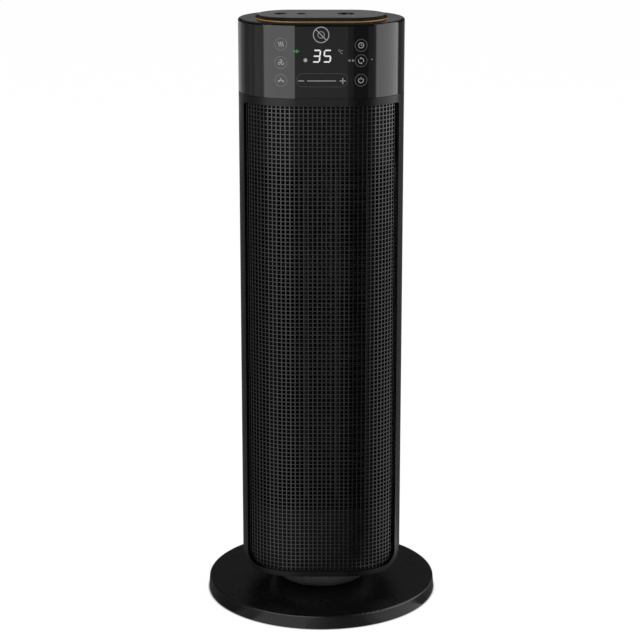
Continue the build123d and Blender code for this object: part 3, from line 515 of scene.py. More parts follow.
@dataclass(frozen=True)
class LitMark(Finish):
    """Mark under the gloss of the head that gives off light: lit marks, and prints whose glow is painted
    light.
    """

    glow: float
    spot_size: float = 4.0

    def fill(self, recipe: Recipe) -> None:
        """Lay a light with a little unevenness, as from a lamp behind; on prints this light is painted.

        Args:
            recipe: Recipe to fill.
        """
        uneven = recipe.noise(self.spot_size, 1.0)
        recipe.tint(uneven, self.colour, 0.2, 0.3)
        recipe.set(Emission_Color=recipe.blend(uneven, shade(self.colour, 0.86), self.colour),
                   Emission_Strength=self.glow, Roughness=0.12)


# Shapes

def placed(name: str, data: bpy.types.ID) -> Piece:
    """Put an object into the scene.

    Args:
        name: Its name.
        data: Its mesh, lamp or camera.

    Returns:
        The object.
    """
    piece = bpy.data.objects.new(name, data)
    bpy.context.scene.collection.objects.link(piece)
    return piece


def leg(longest: float, other: float) -> float:
    """Other short side of a right-angled triangle, or 0 where there is none."""
    return math.sqrt(max(longest ** 2 - other ** 2, 0.0))


@dataclass(frozen=True)
class TowerPlan:
    """Rounded oblong that the tower follows, seen from above."""

    width: float = 170.0
    depth: float = 117.0

    @property
    def end_radius(self) -> float:
        """Radius of the half-round ends."""
        return self.depth / 2

    @property
    def end_centre(self) -> float:
        """Distance of the ends' centres from the middle."""
        return self.width / 2 - self.end_radius

    def across(self, x: float, inset: float = 0.0) -> Spot:
        """Point of the front at a distance across, at an inset from the plan."""
        reach = max(abs(x) - self.end_centre, 0.0)
        return x, -leg(self.end_radius - inset, reach)

    def along(self, run: float, inset: float = 0.0) -> Spot:
        """Point of the front after a run along the plan from the middle.

        Args:
            run: Length along the plan, negative to the left.
            inset: How far inside the plan the point lies.

        Returns:
            The point's X and Y.
        """
        radius = self.end_radius - inset
        reach = abs(run) - self.end_centre
        if reach <= 0:
            return run, -radius
        turn = reach / radius
        side = math.copysign(1.0, run)
        return side * (self.end_centre + radius * math.sin(turn)), -radius * math.cos(turn)

    def facing(self, run: float, inset: float = 0.0) -> Vector:
        """Outward direction of the front after a run along the plan, of length 1."""
        turn = math.copysign(max(abs(run) - self.end_centre, 0.0) / (self.end_radius - inset), run)
        return Vector((math.sin(turn), -math.cos(turn), 0.0))


class Workpiece:
    """Points and faces gathered in millimetres and turned into one piece."""

    def __init__(self) -> None:
        """Start with nothing."""
        self.points: list[Vector] = []
        self.faces: list[tuple[int, ...]] = []

    def add(self, points: Iterable[Sequence[float]]) -> list[int]:
        """Add points.

        Args:
            points: The points.

        Returns:
            Their numbers.
        """
        start = len(self.points)
        self.points.extend(Vector(point) * MM for point in points)
        return list(range(start, len(self.points)))

    def tube(self, rows: Sequence[Sequence[int]]) -> None:
        """Join closed rows of points with faces and close both ends.

        Args:
            rows: Numbers of each row's points.
        """
        for low, high in zip(rows, rows[1:]):
            for i in range(len(low)):
                j = (i + 1) % len(low)
                self.faces.append((low[i], low[j], high[j], high[i]))
        self.faces += [tuple(reversed(rows[0])), tuple(rows[-1])]

    def bar(self, path: Sequence[Vector], half_side: float, half_over: float, up: Vector,
            chamfer: float = 0.08) -> None:
        """Add a closed flat wire along a path, with its edges taken off.

        Args:
            path: Points of the wire's middle line.
            half_side: Half its size across the path and across the up direction.
            half_over: Half its size along the up direction.
            up: A direction that is never along the wire.
            chamfer: Size of the edges taken off.
        """
        a, b, c = half_side, half_over, chamfer
        section = [(a, -b + c), (a, b - c), (a - c, b), (-a + c, b), (-a, b - c), (-a, -b + c), (-a + c, -b),
                   (a - c, -b)]
        rows = []
        for i, point in enumerate(path):
            ahead = path[min(i + 1, len(path) - 1)] - path[max(i - 1, 0)]
            side = ahead.cross(up).normalized()
            over = side.cross(ahead).normalized()
            rows.append(self.add(point + side * u + over * v for u, v in section))
        self.tube(rows)

    def finish(self, name: str, material: Material, body: str, slot: str,
               thickness: float = 0.0) -> Piece:
        """Make the piece and let it ride on its body.

        Args:
            name: Name of the piece.
            material: Its material.
            body: Body that it moves with.
            slot: The record's finish that it stands for; not used.
            thickness: Thickness given to open faces.

        Returns:
            The new object.
        """
        mesh = bpy.data.meshes.new(name)
        mesh.from_pydata(self.points, [], self.faces)
        mesh.materials.append(material)
        mesh.validate()
        piece = placed(name, mesh)
        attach(piece, body)
        if thickness:
            layer = piece.modifiers.new("thickness", "SOLIDIFY")
            layer.thickness = thickness * MM
            layer.offset = -1.0
        log.info("%s: %d faces on %s", name, len(mesh.polygons), body)
        return piece


# Sub-assemblies

@dataclass
class Workshop:
    """Finishes of the heater, and the CAD pieces that take them."""

    def finishes(self) -> dict[str, Finish]:
        """Finish for each material slot of the record.

        Returns:
            Finishes by slot name.
        """
        return {
            "foot_black": MouldedPlastic("foot_skin", grey(0.0018, 0.0001), 0.27, 0.4, 0.005, 0.42,
                                         Grain.LEATHERY),
            "shell_matte": MouldedPlastic("shell_skin", grey(0.0012, 0.0001), 0.34, 0.35, 0.008, 0.3),
            "gloss_black": PianoGloss("gloss_skin", grey(0.001, 0.0001)),
            "steel_plate": PowderCoat("plate_paint", grey(0.03, 0.001), 0.5),
            "rubber": SoftRubber("foot_rubber", grey(0.02)),
            "zinc": BareMetal("zinc_plate", (0.6, 0.6, 0.58)),
            "nylon": MouldedPlastic("natural_nylon", (0.62, 0.6, 0.53), 0.42, 0.8, 0.01),
            "black_nylon": MouldedPlastic("switch_nylon", grey(0.016), 0.36, 0.3, 0.01),
            # chassis and duct sheet: darkened far below their own colour, painted shade of the heater's
            # inside
            "grey_chassis": MouldedPlastic("chassis_painted_shade", grey(0.008, 0.0004), 0.55, 0.9, 0.03),
            "duct_sheet": PowderCoat("duct_painted_shade", grey(0.0035, 0.0001), 0.7, 0.9, shine=0.12),
            "wheel_black": MouldedPlastic("wheel_plastic", grey(0.01, 0.0004), 0.42, 0.6, 0.01),
            "shaft_steel": BareMetal("ground_steel", grey(0.62), MetalSkin.DRAWN, 0.24),
            "motor_iron": WoundIron("motor_windings", (0.2, 0.19, 0.18), (0.45, 0.2, 0.08)),
            "bronze": BareMetal("bush_bronze", (0.55, 0.36, 0.16), MetalSkin.CAST, 0.4),
            # heat frame and heater fins: darkened to near black, painted shade of the heater's inside
            "heat_frame": MouldedPlastic("heat_proof_frame_painted_shade", grey(0.0012), 0.65, 1.0, 0.03, 0.1),
            "heater_fins": FinnedAluminium("heater_fins", grey(0.012, 0.0005)),
            "ceramic": MouldedPlastic("thermostat_body", (0.6, 0.57, 0.5), 0.5, 1.2, 0.02),
            "pcb": CircuitBoard("green_board", (0.012, 0.07, 0.03)),
            "relay_blue": MouldedPlastic("relay_case", (0.03, 0.08, 0.26), 0.35, 0.5, 0.01),
            "amber_guide": LightGuide("amber_light", (0.42, 0.27, 0.065), (0.62, 0.25, 0.035), 0.24),
            "led_white": LitMark("lamp_bodies", (0.8, 0.6, 0.3), 0.6),
            "display": PianoGloss("display_window", grey(0.01), 0.2),
            "pad_foam": SoftRubber("contact_foam", grey(0.06), 0.9),
            "mesh_black": PowderCoat("mesh_paint", grey(0.0022, 0.0001), 0.2, 0.3, 0.003, 0.68),
        }

    def own_finishes(self) -> dict[str, Finish]:
        """Finish for each CAD node that looks different from the rest of its slot.

        Returns:
            Finishes by node name.
        """
        # rear shell, intake grille, handle cup and bottom pan: lighter than the shell plastic; the extra
        # lightness is painted light for the back
        back = MouldedPlastic("back_painted_light_skin", grey(0.016, 0.0003), 0.42, 0.4, 0.012)
        return {
            # neck bowl: a lighter copy of the foot plastic; the extra lightness is painted light
            "neck_bowl": MouldedPlastic("bowl_painted_light_skin", grey(0.066, 0.0006), 0.28, 0.4, 0.008),
            # top plate: the grey of its crown is painted reflection of the pale surroundings
            "top_disc": PaintedReflectionGloss("top_plate", grey(0.001, 0.0001), (0.235, 0.237, 0.241)),
            # duct cap and duct base: darkened to near black, painted shade of the heater's inside
            "duct_cap": PowderCoat("cap_painted_shade", grey(0.0012, 0.0001), 0.7, 0.9, shine=0.1),
            "duct_base": PowderCoat("base_painted_shade", grey(0.0012, 0.0001), 0.7, 0.9, shine=0.1),
            **{node: back for node in ("rear_shell", "intake_grille", "handle_cup", "bottom_pan")},
        }

    def dress(self) -> dict[str, Material]:
        """Give every CAD node its material.

        Returns:
            The materials by slot name.
        """
        slots, own = self.finishes(), self.own_finishes()
        made = {finish: finish.material() for finish in dict.fromkeys([*slots.values(), *own.values()])}
        for part in frame["record"]["subparts"]:
            name, slot = part["node"], part["material_slot"]
            for holder in frame["nodes"][name].material_slots:
                holder.material = made[own.get(name, slots[slot])]
            log.info("%s: %s", name, slot)
        return {slot: made[finish] for slot, finish in slots.items()}


@dataclass
class WireMesh:
    """Welded wire mesh behind the window of the front frame."""

    plan: TowerPlan
    column_pitch: float = 4.63
    column_start: float = 0.40
    row_pitch: float = 4.275
    row_start: float = 3.86
    upright_half: float = 0.58
    level_half: float = 0.46
    upright_depth: float = 0.5
    level_depth: float = 0.42
    level_behind: float = 0.2
    half_width: float = 79.6
    bottom: float = 38.2
    top: float = 538.4
    end_margin: float = 0.6
    inset: float = 3.35
    corner_across: float = 65.0
    corner_height: float = 52.8
    corner_radius: float = 16.6
    arc_steps: int = 26

    def lowest(self, x: float) -> float:
        """Height where an upright wire starts, raised in the rounded lower corners."""
        drop = leg(self.corner_radius, max(abs(x) - self.corner_across, 0.0))
        return self.bottom if abs(x) <= self.corner_across else max(self.bottom, self.corner_height - drop)

    def widest(self, z: float) -> float:
        """Distance across where a level wire ends, shorter in the rounded lower corners."""
        drop = max(self.corner_height - z, 0.0)
        return min(self.half_width, self.corner_across + leg(self.corner_radius, drop))

    def run_at(self, x: float, inset: float) -> float:
        """Length along the plan to a distance across."""
        radius = self.plan.end_radius - inset
        return self.plan.end_centre + radius * math.asin((x - self.plan.end_centre) / radius)

    def build(self, paint: Material) -> Piece:
        """Make the layer of upright wires, then the level ones, which bend round the ends.

        Args:
            paint: Material of the wires.

        Returns:
            The mesh as one piece.
        """
        work = Workpiece()
        limit = self.run_at(self.half_width, self.inset)
        count = int(limit / self.column_pitch) + 1
        for k in range(-count, count + 1):
            run = self.column_start + k * self.column_pitch
            if abs(run) > limit:
                continue
            x, y = self.plan.along(run, self.inset)
            path = [Vector((x, y, self.lowest(x))), Vector((x, y, self.top))]
            work.bar(path, self.upright_half, self.upright_depth, self.plan.facing(run, self.inset))
        inset, centre = self.inset + self.level_behind, self.plan.end_centre
        first = math.ceil((self.bottom + self.end_margin - self.row_start) / self.row_pitch)
        last = int((self.top - self.end_margin - self.row_start) / self.row_pitch)
        for k in range(first, last + 1):
            z = self.row_start + k * self.row_pitch
            end = self.run_at(self.widest(z), inset)
            bend = [centre + (end - centre) * i / self.arc_steps for i in range(self.arc_steps + 1)]
            runs = [-run for run in reversed(bend)] + bend
            path = [Vector((*self.plan.along(run, inset), z)) for run in runs]
            work.bar(path, self.level_depth, self.level_half, Vector((0, 0, 1)))
        piece = work.finish("wire_mesh", paint, "tower", "mesh_black")
        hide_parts("mesh_middle", "mesh_left", "mesh_right")
        return piece


@dataclass
class BackScreens:
    """Thin black screens inside the skin: one behind the intake, and a lip behind each side seam."""

    plan: TowerPlan
    intake_half: float = 56.0
    intake_inset: float = 4.7
    intake_margins: Spot = (1.0, 1.0)
    thickness: float = 0.4
    wall: float = 2.45
    lip_half: float = 3.0
    lip_margins: Spot = (3.0, 1.0)
    steps: int = 36

    def plate(self, name: str, outline: Sequence[Spot], node: str, margins: Spot,
              paint: Material) -> Piece:
        """Make an upright plate nearly as high as a CAD node.

        Args:
            name: Name of the plate.
            outline: Its corners seen from above.
            node: The CAD node.
            margins: How far it ends inside the node's bottom and top.
            paint: Its material.

        Returns:
            The plate.
        """
        bottom, top = (corner[2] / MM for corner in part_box(node))
        heights = bottom + margins[0], top - margins[1]
        work = Workpiece()
        work.tube([work.add((x, y, z) for x, y in outline) for z in heights])
        return work.finish(name, paint, "tower", "duct_sheet")

    def build(self, paint: Material) -> list[Piece]:
        """Make the three screens.

        Args:
            paint: Their material.

        Returns:
            The screens.
        """
        across = [self.intake_half * (2 * i / self.steps - 1) for i in range(self.steps + 1)]
        outer = [self.plan.across(x, self.intake_inset) for x in across]
        inner = [self.plan.across(x, self.intake_inset + self.thickness) for x in reversed(across)]
        intake = [(x, -y) for x, y in outer + inner]
        made = [self.plate("intake_screen", intake, "intake_grille", self.intake_margins, paint)]
        far, half = self.plan.width / 2 - self.wall, self.lip_half
        near = far - self.thickness
        for name, side in (("left_seam_lip", -1), ("right_seam_lip", 1)):
            outline = [(side * near, -half), (side * far, -half), (side * far, half), (side * near, half)]
            made.append(self.plate(name, outline[::side], "rear_shell", self.lip_margins, paint))
        return made


class KeySymbol(Enum):
    """Symbols of the touch keys."""

    HEAT = "heat"
    FAN = "fan"
    SWING = "swing"
    CLOCK = "clock"
    TURN = "turn"
    POWER = "power"


def arc(x: float, z: float, radius: float, start: float = 0.0, stop: float = 360.0,
        steps: int = 16) -> list[Spot]:
    """Points along an arc, or a full ring.

    Args:
        x: Centre across.
        z: Centre height.
        radius: Radius.
        start: First angle in degrees, from +X towards +Z.
        stop: Last angle in degrees.
        steps: Number of spans.

    Returns:
        The points.
    """
    turns = [math.radians(start + (stop - start) * i / steps) for i in range(steps + 1)]
    return [(x + radius * math.cos(t), z + radius * math.sin(t)) for t in turns]


def key_strokes() -> dict[KeySymbol, list[Stroke]]:
    """Strokes of each key's symbol, drawn round its own middle.

    Returns:
        Lines with their widths, by symbol.
    """
    fine, middling, bold = 0.6, 0.65, 0.75
    turn: list[Stroke] = [(arc(0.0, 0.0, 2.6, 150, 290), bold), (arc(0.0, 0.0, 2.6, -30, 110), bold)]
    turn += [([(side * 0.1, -side * 3.4), (side * 1.1, -side * 2.4), (-side * 0.1, -side * 1.7)], fine)
             for side in (1, -1)]
    swing: list[Stroke] = [([(-2.9, -0.9), (0.0, 0.2), (2.9, -0.9)], bold)]
    swing += [([(side * 1.9, 0.4), (side * 3.0, -0.9), (side * 1.5, -1.6)], fine) for side in (-1, 1)]
    swing.append(([(0.0, 0.2), (0.0, 2.7)], bold))
    fan: list[Stroke] = [(arc(0.0, 0.0, 0.55, steps=10), fine)]
    for start in (90, 210, 330):
        way = math.radians(start)
        blade = arc(1.75 * math.cos(way), 1.75 * math.sin(way), 1.15, start - 160, start + 80, 10)
        fan.append((blade, middling))
    return {
        KeySymbol.POWER: [(arc(0.0, -0.2, 2.5, 125, 415), bold), ([(0.0, 0.4), (0.0, 3.1)], bold)],
        KeySymbol.CLOCK: [(arc(0.0, 0.0, 2.6, steps=24), 0.7), ([(0.0, 1.7), (0.0, 0.0), (1.3, -0.5)], fine)],
        KeySymbol.TURN: turn,
        KeySymbol.SWING: swing,
        KeySymbol.FAN: fan,
        KeySymbol.HEAT: [([(shift + 0.55 * math.sin(i * math.pi / 4), -2.4 + 0.6 * i) for i in range(9)],
                          middling) for shift in (-1.9, 0.0, 1.9)],
    }


class Marking(Workpiece):
    """Thin marks drawn in the flat and laid on a curved or tilted face."""

    longest_span = 3.0
    closed_within = 1e-6

    def __init__(self, lay: Callable[[float, float], Place]) -> None:
        """Start with nothing drawn; lay turns a point of the drawing into its place on the face."""
        super().__init__()
        self.lay = lay

    def line(self, path: Sequence[Spot], width: float) -> None:
        """Draw a line of even width.

        Args:
            path: Points of the line.
            width: Its width.
        """
        fine: list[Spot] = [path[0]]
        for (x0, z0), (x1, z1) in zip(path, path[1:]):
            parts = max(1, int(math.dist((x0, z0), (x1, z1)) / self.longest_span))
            fine += [(x0 + (x1 - x0) * i / parts, z0 + (z1 - z0) * i / parts) for i in range(1, parts + 1)]
        closed = math.dist(fine[0], fine[-1]) < self.closed_within
        left, right = [], []
        for i, (x, z) in enumerate(fine):
            before = fine[i - 1] if i else fine[-2 if closed else 0]
            after = fine[i + 1] if i + 1 < len(fine) else fine[1 if closed else -1]
            dx, dz = after[0] - before[0], after[1] - before[1]
            length = math.hypot(dx, dz)
            nx, nz = -dz / length * width / 2, dx / length * width / 2
            left.append(self.lay(x + nx, z + nz))
            right.append(self.lay(x - nx, z - nz))
        a, b = self.add(left), self.add(right)
        self.faces.extend((a[i], b[i], b[i + 1], a[i + 1]) for i in range(len(a) - 1))

    def patch(self, outline: Sequence[Spot]) -> None:
        """Fill a shape whose corners go round to the left."""
        self.faces.append(tuple(self.add(self.lay(x, z) for x, z in outline)))

    def dot(self, x: float, z: float, radius: float, steps: int = 16) -> None:
        """Fill a round dot."""
        self.patch(arc(x, z, radius, steps=steps)[:-1])


@dataclass
class TouchHead:
    """Lit digits and touch marks on the glossy front of the head."""

    plan: TowerPlan
    lift: float = 0.05
    digit_width: float = 7.9
    digit_height: float = 12.9
    digit_line: float = 1.4
    digit_gap: float = 0.16
    digit_slant: float = 0.11
    digit_bottom: float = 581.5
    digit_lefts: Spot = (-9.4, 1.3)
    key_places: tuple[tuple[KeySymbol, float, float], ...] = (
        (KeySymbol.HEAT, -40.4, 599.7), (KeySymbol.FAN, -40.4, 581.4), (KeySymbol.SWING, -40.4, 563.4),
        (KeySymbol.CLOCK, 39.5, 598.5), (KeySymbol.TURN, 39.5, 583.2), (KeySymbol.POWER, 39.5, 563.8))
    key_ring: float = 6.0
    key_ring_line: float = 0.38
    slider_height: float = 563.2
    slider_strokes: tuple[Stroke, ...] = (
        (((-23.3, 0.0), (-17.2, 0.0)), 0.9), (((18.2, 0.0), (24.4, 0.0)), 0.9),
        (((21.3, -3.1), (21.3, 3.1)), 0.9), (((-14.3, 0.0), (14.7, 0.0)), 0.8))
    pill_ends: Spot = (-18.4, 19.8)
    pill_radius: float = 6.7
    pill_rise: float = 0.7
    pill_line: float = 0.28
    mark_middle: Spot = (-0.3, 609.1)
    mark_ring: float = 7.7
    mark_core: float = 3.2
    mark_bar: tuple[Spot, Spot] = ((-5.6, 614.4), (5.0, 603.8))
    mark_line: float = 0.8
    pale_dot: tuple[float, float, float] = (-15.9, 583.9, 1.9)
    small_dots: tuple[tuple[float, float, float], ...] = (
        (28.0, 583.6, 1.1), (31.4, 583.6, 1.1), (50.4, 584.1, 0.7))
    unit_ring: tuple[float, float, float] = (17.6, 593.7, 0.8)
    unit_letter: tuple[float, float, float] = (20.4, 592.0, 1.6)
    lamp_outline: tuple[Spot, ...] = ((-28.4, 592.2), (-25.2, 592.2), (-25.2, 590.8), (-21.8, 592.8),
                                      (-25.2, 594.8), (-25.2, 593.4), (-28.4, 593.4))

    def lay(self, x: float, z: float) -> Place:
        """Place of a mark's point, just proud of the head."""
        return (*self.plan.across(x, -self.lift), z)

    def lit(self, marking: Marking, name: str, light: LitMark) -> Piece:
        """Finish marks as one lit piece of the head."""
        return marking.finish(name, light.material(), "tower", "led_white", MARK_THICKNESS)

    def segment(self, marking: Marking, ends: tuple[Spot, Spot], left: float) -> None:
        """Add one bar of a seven-segment digit.

        Args:
            marking: Marks to add to.
            ends: The bar's ends on an upright digit, from its lower left corner.
            left: Where the digit starts across.
        """
        (x0, z0), (x1, z1) = ends
        length = math.dist(*ends)
        ux, uz = (x1 - x0) / length, (z1 - z0) / length
        half, gap = self.digit_line / 2, self.digit_gap
        outline = []
        for run, side in ((gap, 0), (half, -half), (length - half, -half), (length - gap, 0),
                          (length - half, half), (half, half)):
            x, z = x0 + ux * run - uz * side, z0 + uz * run + ux * side
            outline.append((left + x + self.digit_slant * z, self.digit_bottom + z))
        marking.patch(outline)

    def digits(self) -> Piece:
        """The two digits of the display, which read 35.

        Returns:
            The digits as one piece.
        """
        marking = Marking(self.lay)
        half = self.digit_line / 2
        wide, high = self.digit_width - self.digit_line, self.digit_height - self.digit_line
        left, right = half, half + wide
        low, mid, top = half, half + high / 2, half + high
        bars = {"a": ((left, top), (right, top)), "b": ((right, mid), (right, top)),
                "c": ((right, low), (right, mid)), "d": ((left, low), (right, low)),
                "f": ((left, mid), (left, top)), "g": ((left, mid), (right, mid))}
        for start, used in zip(self.digit_lefts, ("abcdg", "acdfg")):
            for bar in used:
                self.segment(marking, bars[bar], start)
        return self.lit(marking, "display_digits", LitMark("digit_light", (0.86, 0.88, 0.9), 0.78))

    def keys(self) -> list[Piece]:
        """Symbols of the touch keys and the rings round them.

        Returns:
            The symbols and the rings.
        """
        symbols, rings = Marking(self.lay), Marking(self.lay)
        strokes = key_strokes()
        for kind, x, z in self.key_places:
            rings.line(arc(x, z, self.key_ring, steps=36), self.key_ring_line)
            for path, width in strokes[kind]:
                symbols.line([(x + u, z + v) for u, v in path], width)
        # the key rings are print; their glow is painted light
        return [self.lit(symbols, "key_symbols", LitMark("symbol_light", grey(0.5, 0.02), 0.42)),
                self.lit(rings, "key_rings", LitMark("ring_print_painted_glow", grey(0.3, 0.01), 0.22))]

    def slider(self) -> list[Piece]:
        """Slider bar with its ends and the faint outline round it.

        Returns:
            The bar and the outline.
        """
        bar, outline = Marking(self.lay), Marking(self.lay)
        for path, width in self.slider_strokes:
            bar.line([(x, self.slider_height + rise) for x, rise in path], width)
        z, (left, right) = self.slider_height + self.pill_rise, self.pill_ends
        rim = arc(right, z, self.pill_radius, -90, 90) + arc(left, z, self.pill_radius, 90, 270)
        outline.line(rim + rim[:1], self.pill_line)
        # the slider outline is print; its glow is painted light
        return [self.lit(bar, "slider_bar", LitMark("slider_light", grey(0.5, 0.02), 0.4)),
                self.lit(outline, "slider_outline", LitMark("outline_print_painted_glow", grey(0.2, 0.01), 0.16))]

    def signs(self) -> list[Piece]:
        """Ring mark at the top, small dots, the unit beside the digits and the green lamp.

        Returns:
            The pale signs, the small signs and the lamp.
        """
        pale, dots, lamp = Marking(self.lay), Marking(self.lay), Marking(self.lay)
        pale.line(arc(*self.mark_middle, self.mark_ring, steps=40), self.mark_line)
        pale.line(self.mark_bar, self.mark_line)
        pale.line(arc(*self.mark_middle, self.mark_core, steps=24), 0.5)
        pale.dot(*self.pale_dot, 20)
        for spot in self.small_dots:
            dots.dot(*spot)
        dots.line(arc(*self.unit_ring, steps=12), 0.4)
        dots.line(arc(*self.unit_letter, 55, 305, 14), 0.5)
        lamp.patch(self.lamp_outline)
        return [self.lit(pale, "ring_mark", LitMark("sign_light", grey(0.5, 0.02), 0.5)),
                self.lit(dots, "small_signs", LitMark("dot_light", grey(0.4, 0.02), 0.3)),
                self.lit(lamp, "green_lamp", LitMark("green_light", (0.04, 0.4, 0.08), 0.42))]

    def build(self) -> list[Piece]:
        """Make all the marks of the head."""
        return [self.digits(), *self.keys(), *self.slider(), *self.signs()]


@dataclass
class MainsSwitch:
    """Moulded on and off marks of the mains rocker at the back."""

    pivot_y: float = 55.3
    pivot_z: float = 57.0
    middle_y: float = 59.8
    half_height: float = 4.9
    dish: float = 0.5
    rest_tilt: float = 7.0
    lift: float = 0.05
    line: float = 0.5
    on_ends: Spot = (1.3, 3.9)
    off_middle: float = -2.6
    off_radius: float = 1.2

    def lay(self, x: float, z: float) -> Place:
        """Place of a mark's point on the resting rocker, seen from behind.

        Args:
            x: Distance to the right, seen from behind.
            z: Height above the pivot.

        Returns:
            The point.
        """
        turn = math.radians(self.rest_tilt)
        y = self.middle_y + self.dish * abs(z) / self.half_height + self.lift - self.pivot_y
        return (-x, self.pivot_y + y * math.cos(turn) - z * math.sin(turn),
                self.pivot_z + y * math.sin(turn) + z * math.cos(turn))

    def build(self) -> Piece:
        """Make both marks.

        Returns:
            The marks as one piece.
        """
        marking = Marking(self.lay)
        marking.line([(0.0, z) for z in self.on_ends], self.line)
        marking.line(arc(0.0, self.off_middle, self.off_radius, steps=24), self.line)
        paint = MouldedPlastic("switch_marks", grey(0.6), 0.5, 0.3, 0.005).material()
        return marking.finish("switch_marks", paint, "rocker", "black_nylon", MARK_THICKNESS)


# Studio

def level_square(half: float, height: float) -> list[Place]:
    """Corners of a level square round the heater, in metres."""
    return [(half * x, half * y, height) for x, y in ((-1, -1), (1, -1), (1, 1), (-1, 1))]


def studio_sheet(name: str, points: list[Place], faces: list[tuple[int, ...]], level: float) -> Piece:
    """Make a sheet that only reflections see.

    Args:
        name: Name of the sheet.
        points: Its corners in metres.
        faces: Its faces.
        level: How light it looks, where 1 is white.

    Returns:
        The sheet.
    """
    mesh = bpy.data.meshes.new(name)
    mesh.from_pydata(points, [], faces)
    recipe = Recipe(name)
    recipe.set(Base_Color=BLACK, Specular_IOR_Level=0.0, Roughness=1.0, Emission_Color=WHITE,
               Emission_Strength=level)
    recipe.material.cycles.emission_sampling = "NONE"
    mesh.materials.append(recipe.material)
    sheet = placed(name, mesh)
    sheet.visible_camera = sheet.visible_diffuse = sheet.visible_shadow = sheet.visible_transmission = False
    return sheet


@dataclass(frozen=True)
class Card:
    """Dark card of the studio, part of a ring round the heater, which the gloss mirrors."""

    name: str
    start: float
    stop: float
    level: float
    first: Spot
    second: Spot
    span: float

    def build(self) -> Piece:
        """Make the card between two edges, each given by its distance and height.

        Returns:
            The card.
        """
        steps = max(2, int(abs(self.stop - self.start) / self.span))
        points: list[Place] = []
        for i in range(steps + 1):
            turn = math.radians(self.start + (self.stop - self.start) * i / steps)
            points += [(reach * math.sin(turn), -reach * math.cos(turn), height)
                       for reach, height in (self.first, self.second)]
        faces = [(2 * i, 2 * i + 2, 2 * i + 3, 2 * i + 1) for i in range(steps)]
        return studio_sheet(self.name, points, faces, self.level)


@dataclass(frozen=True)
class SoftBox:
    """Large soft lamp that stands on the floor and faces the heater."""

    name: str
    azimuth: float
    half_angle: float
    level: float
    distance: float = 2.3
    low: float = 0.04
    high: float = 2.3

    def build(self) -> Piece:
        """Make the lamp at its place.

        Returns:
            The lamp.
        """
        width = 2 * self.distance * math.tan(math.radians(self.half_angle))
        height = self.high - self.low
        lamp = bpy.data.lights.new(self.name, "AREA")
        lamp.shape = "RECTANGLE"
        lamp.size, lamp.size_y = width, height
        lamp.energy = self.level * math.pi * width * height
        turn = math.radians(self.azimuth)
        holder = placed(self.name, lamp)
        holder.location = (self.distance * math.sin(turn), -self.distance * math.cos(turn),
                           (self.low + self.high) / 2)
        holder.rotation_euler = (math.radians(90), 0.0, turn)
        holder.visible_camera = False
        return holder


@dataclass(frozen=True)
class Sector:
    """Tones of the dark cards between two directions from the heater, clockwise from the front."""

    start: float
    stop: float
    upright: float
    floor: float


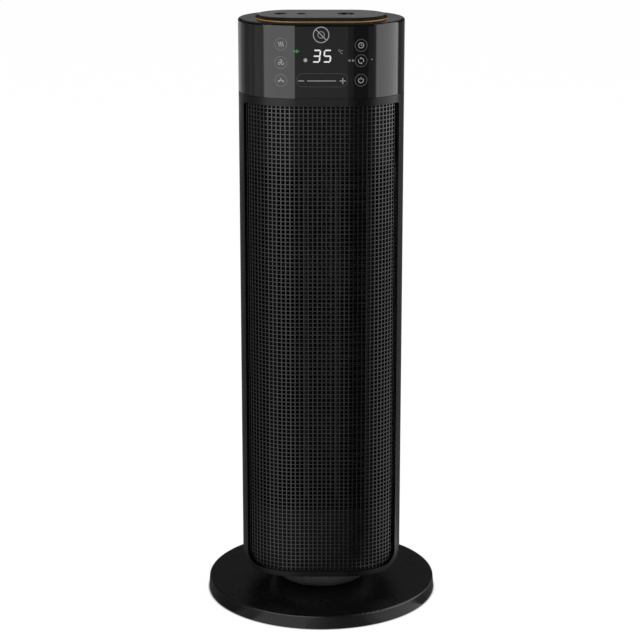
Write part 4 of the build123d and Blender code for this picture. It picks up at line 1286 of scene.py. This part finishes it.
@dataclass
class Studio:
    """Pale floor, white surroundings, soft lamps, dark cards and the camera, its lens in millimetres."""

    boxes: tuple[SoftBox, ...] = (SoftBox("soft_box_left", -34.3, 31.2, 1.38),
                                  SoftBox("soft_box_right", 90.0, 31.5, 1.4))
    sectors: tuple[Sector, ...] = (
        Sector(-4.0, 3.0, 0.5, 0.42), Sector(3.0, 12.0, 0.3, 0.18), Sector(12.0, 42.0, 0.15, 0.05),
        Sector(42.0, 52.0, 0.32, 0.3), Sector(52.0, 60.0, 0.4, 0.5), Sector(119.0, 165.0, 0.15, 0.15),
        Sector(165.0, 192.0, 0.4, 0.15), Sector(192.0, 222.0, 0.6, 0.15), Sector(222.0, 236.0, 0.4, 0.15),
        Sector(236.0, 254.0, 0.25, 0.2), Sector(254.0, 272.0, 0.4, 0.25), Sector(272.0, 296.0, 0.66, 0.5))
    bands: tuple[tuple[float, float, float], ...] = (
        (-0.01, 0.3, 1.0), (0.3, 0.9, 0.05), (0.9, 1.1, 0.2), (1.1, 1.7, 0.03), (1.7, 5.0, 0.14))
    foot_tones: tuple[tuple[float, float, float], ...] = (
        (-180.0, -50.0, 0.1), (-50.0, -37.0, 0.35), (-8.0, -2.0, 0.6), (-2.0, 3.0, 0.42), (3.0, 9.0, 0.33),
        (9.0, 26.0, 0.27), (26.0, 32.0, 0.6), (62.0, 180.0, 0.12))
    foot_distance: float = 0.1232
    near_distance: float = 0.18
    card_distance: float = 3.0
    card_height: float = 0.0006
    upright_span: float = 6.0
    floor_span: float = 3.0
    top_half: float = 3.7
    top_height: float = 4.9
    top_level: float = 0.06
    floor_half: float = 9.0
    floor_tone: float = 0.75
    floor_seen: float = 0.12
    floor_glow: float = 0.94
    contact: float = 0.122
    contact_ramp: float = 0.0025
    ambient: float = 0.42
    sensor: float = 36.0
    lens: float = 116.09
    sight: float = 50.0
    eye: Place = (-0.0014, -2.1065, 0.8767)
    pitch: float = 15.31

    def world(self) -> None:
        """White surroundings, with a plain light level for the object."""
        world = bpy.data.worlds.new("studio")
        bpy.context.scene.world = world
        world.use_nodes = True
        tree = Tree(world.node_tree)
        lit, seen = (tree.add("Background", {"Color": WHITE, "Strength": level}).outputs[0]
                     for level in (self.ambient, 1.0))
        mix = tree.add("MixShader", {"Fac": tree.background_rays(), 1: lit, 2: seen})
        tree.add("OutputWorld", {"Surface": mix.outputs[0]})

    def floor(self) -> Piece:
        """Pale floor that keeps the heater's shadow.

        Returns:
            The floor.
        """
        mesh = bpy.data.meshes.new("studio_floor")
        mesh.from_pydata(level_square(self.floor_half, 0.0), [], [(0, 1, 2, 3)])
        recipe = Recipe("studio_floor")
        recipe.set(Base_Color=grey(self.floor_tone), Roughness=0.9, Specular_IOR_Level=0.0)
        seen = recipe.add("BsdfDiffuse", {"Color": grey(self.floor_seen)}).outputs[0]
        light = recipe.add("Emission", {"Strength": self.floor_glow}).outputs[0]
        both = recipe.add("AddShader", {0: seen, 1: light}).outputs[0]
        away = recipe.add("VectorMath", {0: recipe.place}, operation="LENGTH").outputs["Value"]
        clear = recipe.ranged(away, 0.0, 1.0, self.contact, self.contact + self.contact_ramp)
        share = recipe.reckon("MULTIPLY", recipe.background_rays(), clear)
        mix = recipe.add("MixShader", {"Fac": share, 1: recipe.surface.outputs[0], 2: both})
        recipe.feed(recipe.output.inputs["Surface"], mix.outputs[0])
        mesh.materials.append(recipe.material)
        recipe.material.cycles.emission_sampling = "NONE"
        floor = placed("studio_floor", mesh)
        return floor

    def cards(self) -> None:
        """Stand and lay the dark cards round the heater and hang one above it."""
        foot, near, far = ((distance, self.card_height)
                           for distance in (self.foot_distance, self.near_distance, self.card_distance))
        for i, sector in enumerate(self.sectors):
            ends = sector.start, sector.stop
            Card(f"floor_card_{i}", *ends, sector.floor, far, near, self.floor_span).build()
            for j, (low, high, most) in enumerate(self.bands):
                Card(f"card_{i}_{j}", *ends, min(sector.upright, most), (self.card_distance, low),
                     (self.card_distance, high), self.upright_span).build()
        for i, tone in enumerate(self.foot_tones):
            Card(f"foot_card_{i}", *tone, near, foot, self.floor_span).build()
        studio_sheet("card_above", level_square(self.top_half, self.top_height), [(0, 1, 2, 3)],
                     self.top_level)

    def camera(self) -> None:
        """Camera at the photograph's place."""
        data = bpy.data.cameras.new("camera")
        data.sensor_width = self.sensor
        data.sensor_fit = "HORIZONTAL"
        data.lens = self.lens
        data.clip_end = self.sight
        holder = placed("camera", data)
        holder.location = self.eye
        holder.rotation_euler = (math.radians(90 - self.pitch), 0.0, 0.0)
        bpy.context.scene.camera = holder

    def build(self) -> None:
        """Set up the whole studio."""
        bpy.context.scene.view_settings.view_transform = "Standard"
        self.world()
        self.floor()
        for box in self.boxes:
            box.build()
        self.cards()
        self.camera()


def main() -> None:
    """Dress the heater and set up the studio."""
    logging.basicConfig(level=logging.INFO, format="%(name)s %(message)s")
    plan = TowerPlan()
    materials = Workshop().dress()
    WireMesh(plan).build(materials["mesh_black"])
    BackScreens(plan).build(materials["duct_sheet"])
    TouchHead(plan).build()
    MainsSwitch().build()
    Studio().build()


if __name__ == "__main__":
    main()
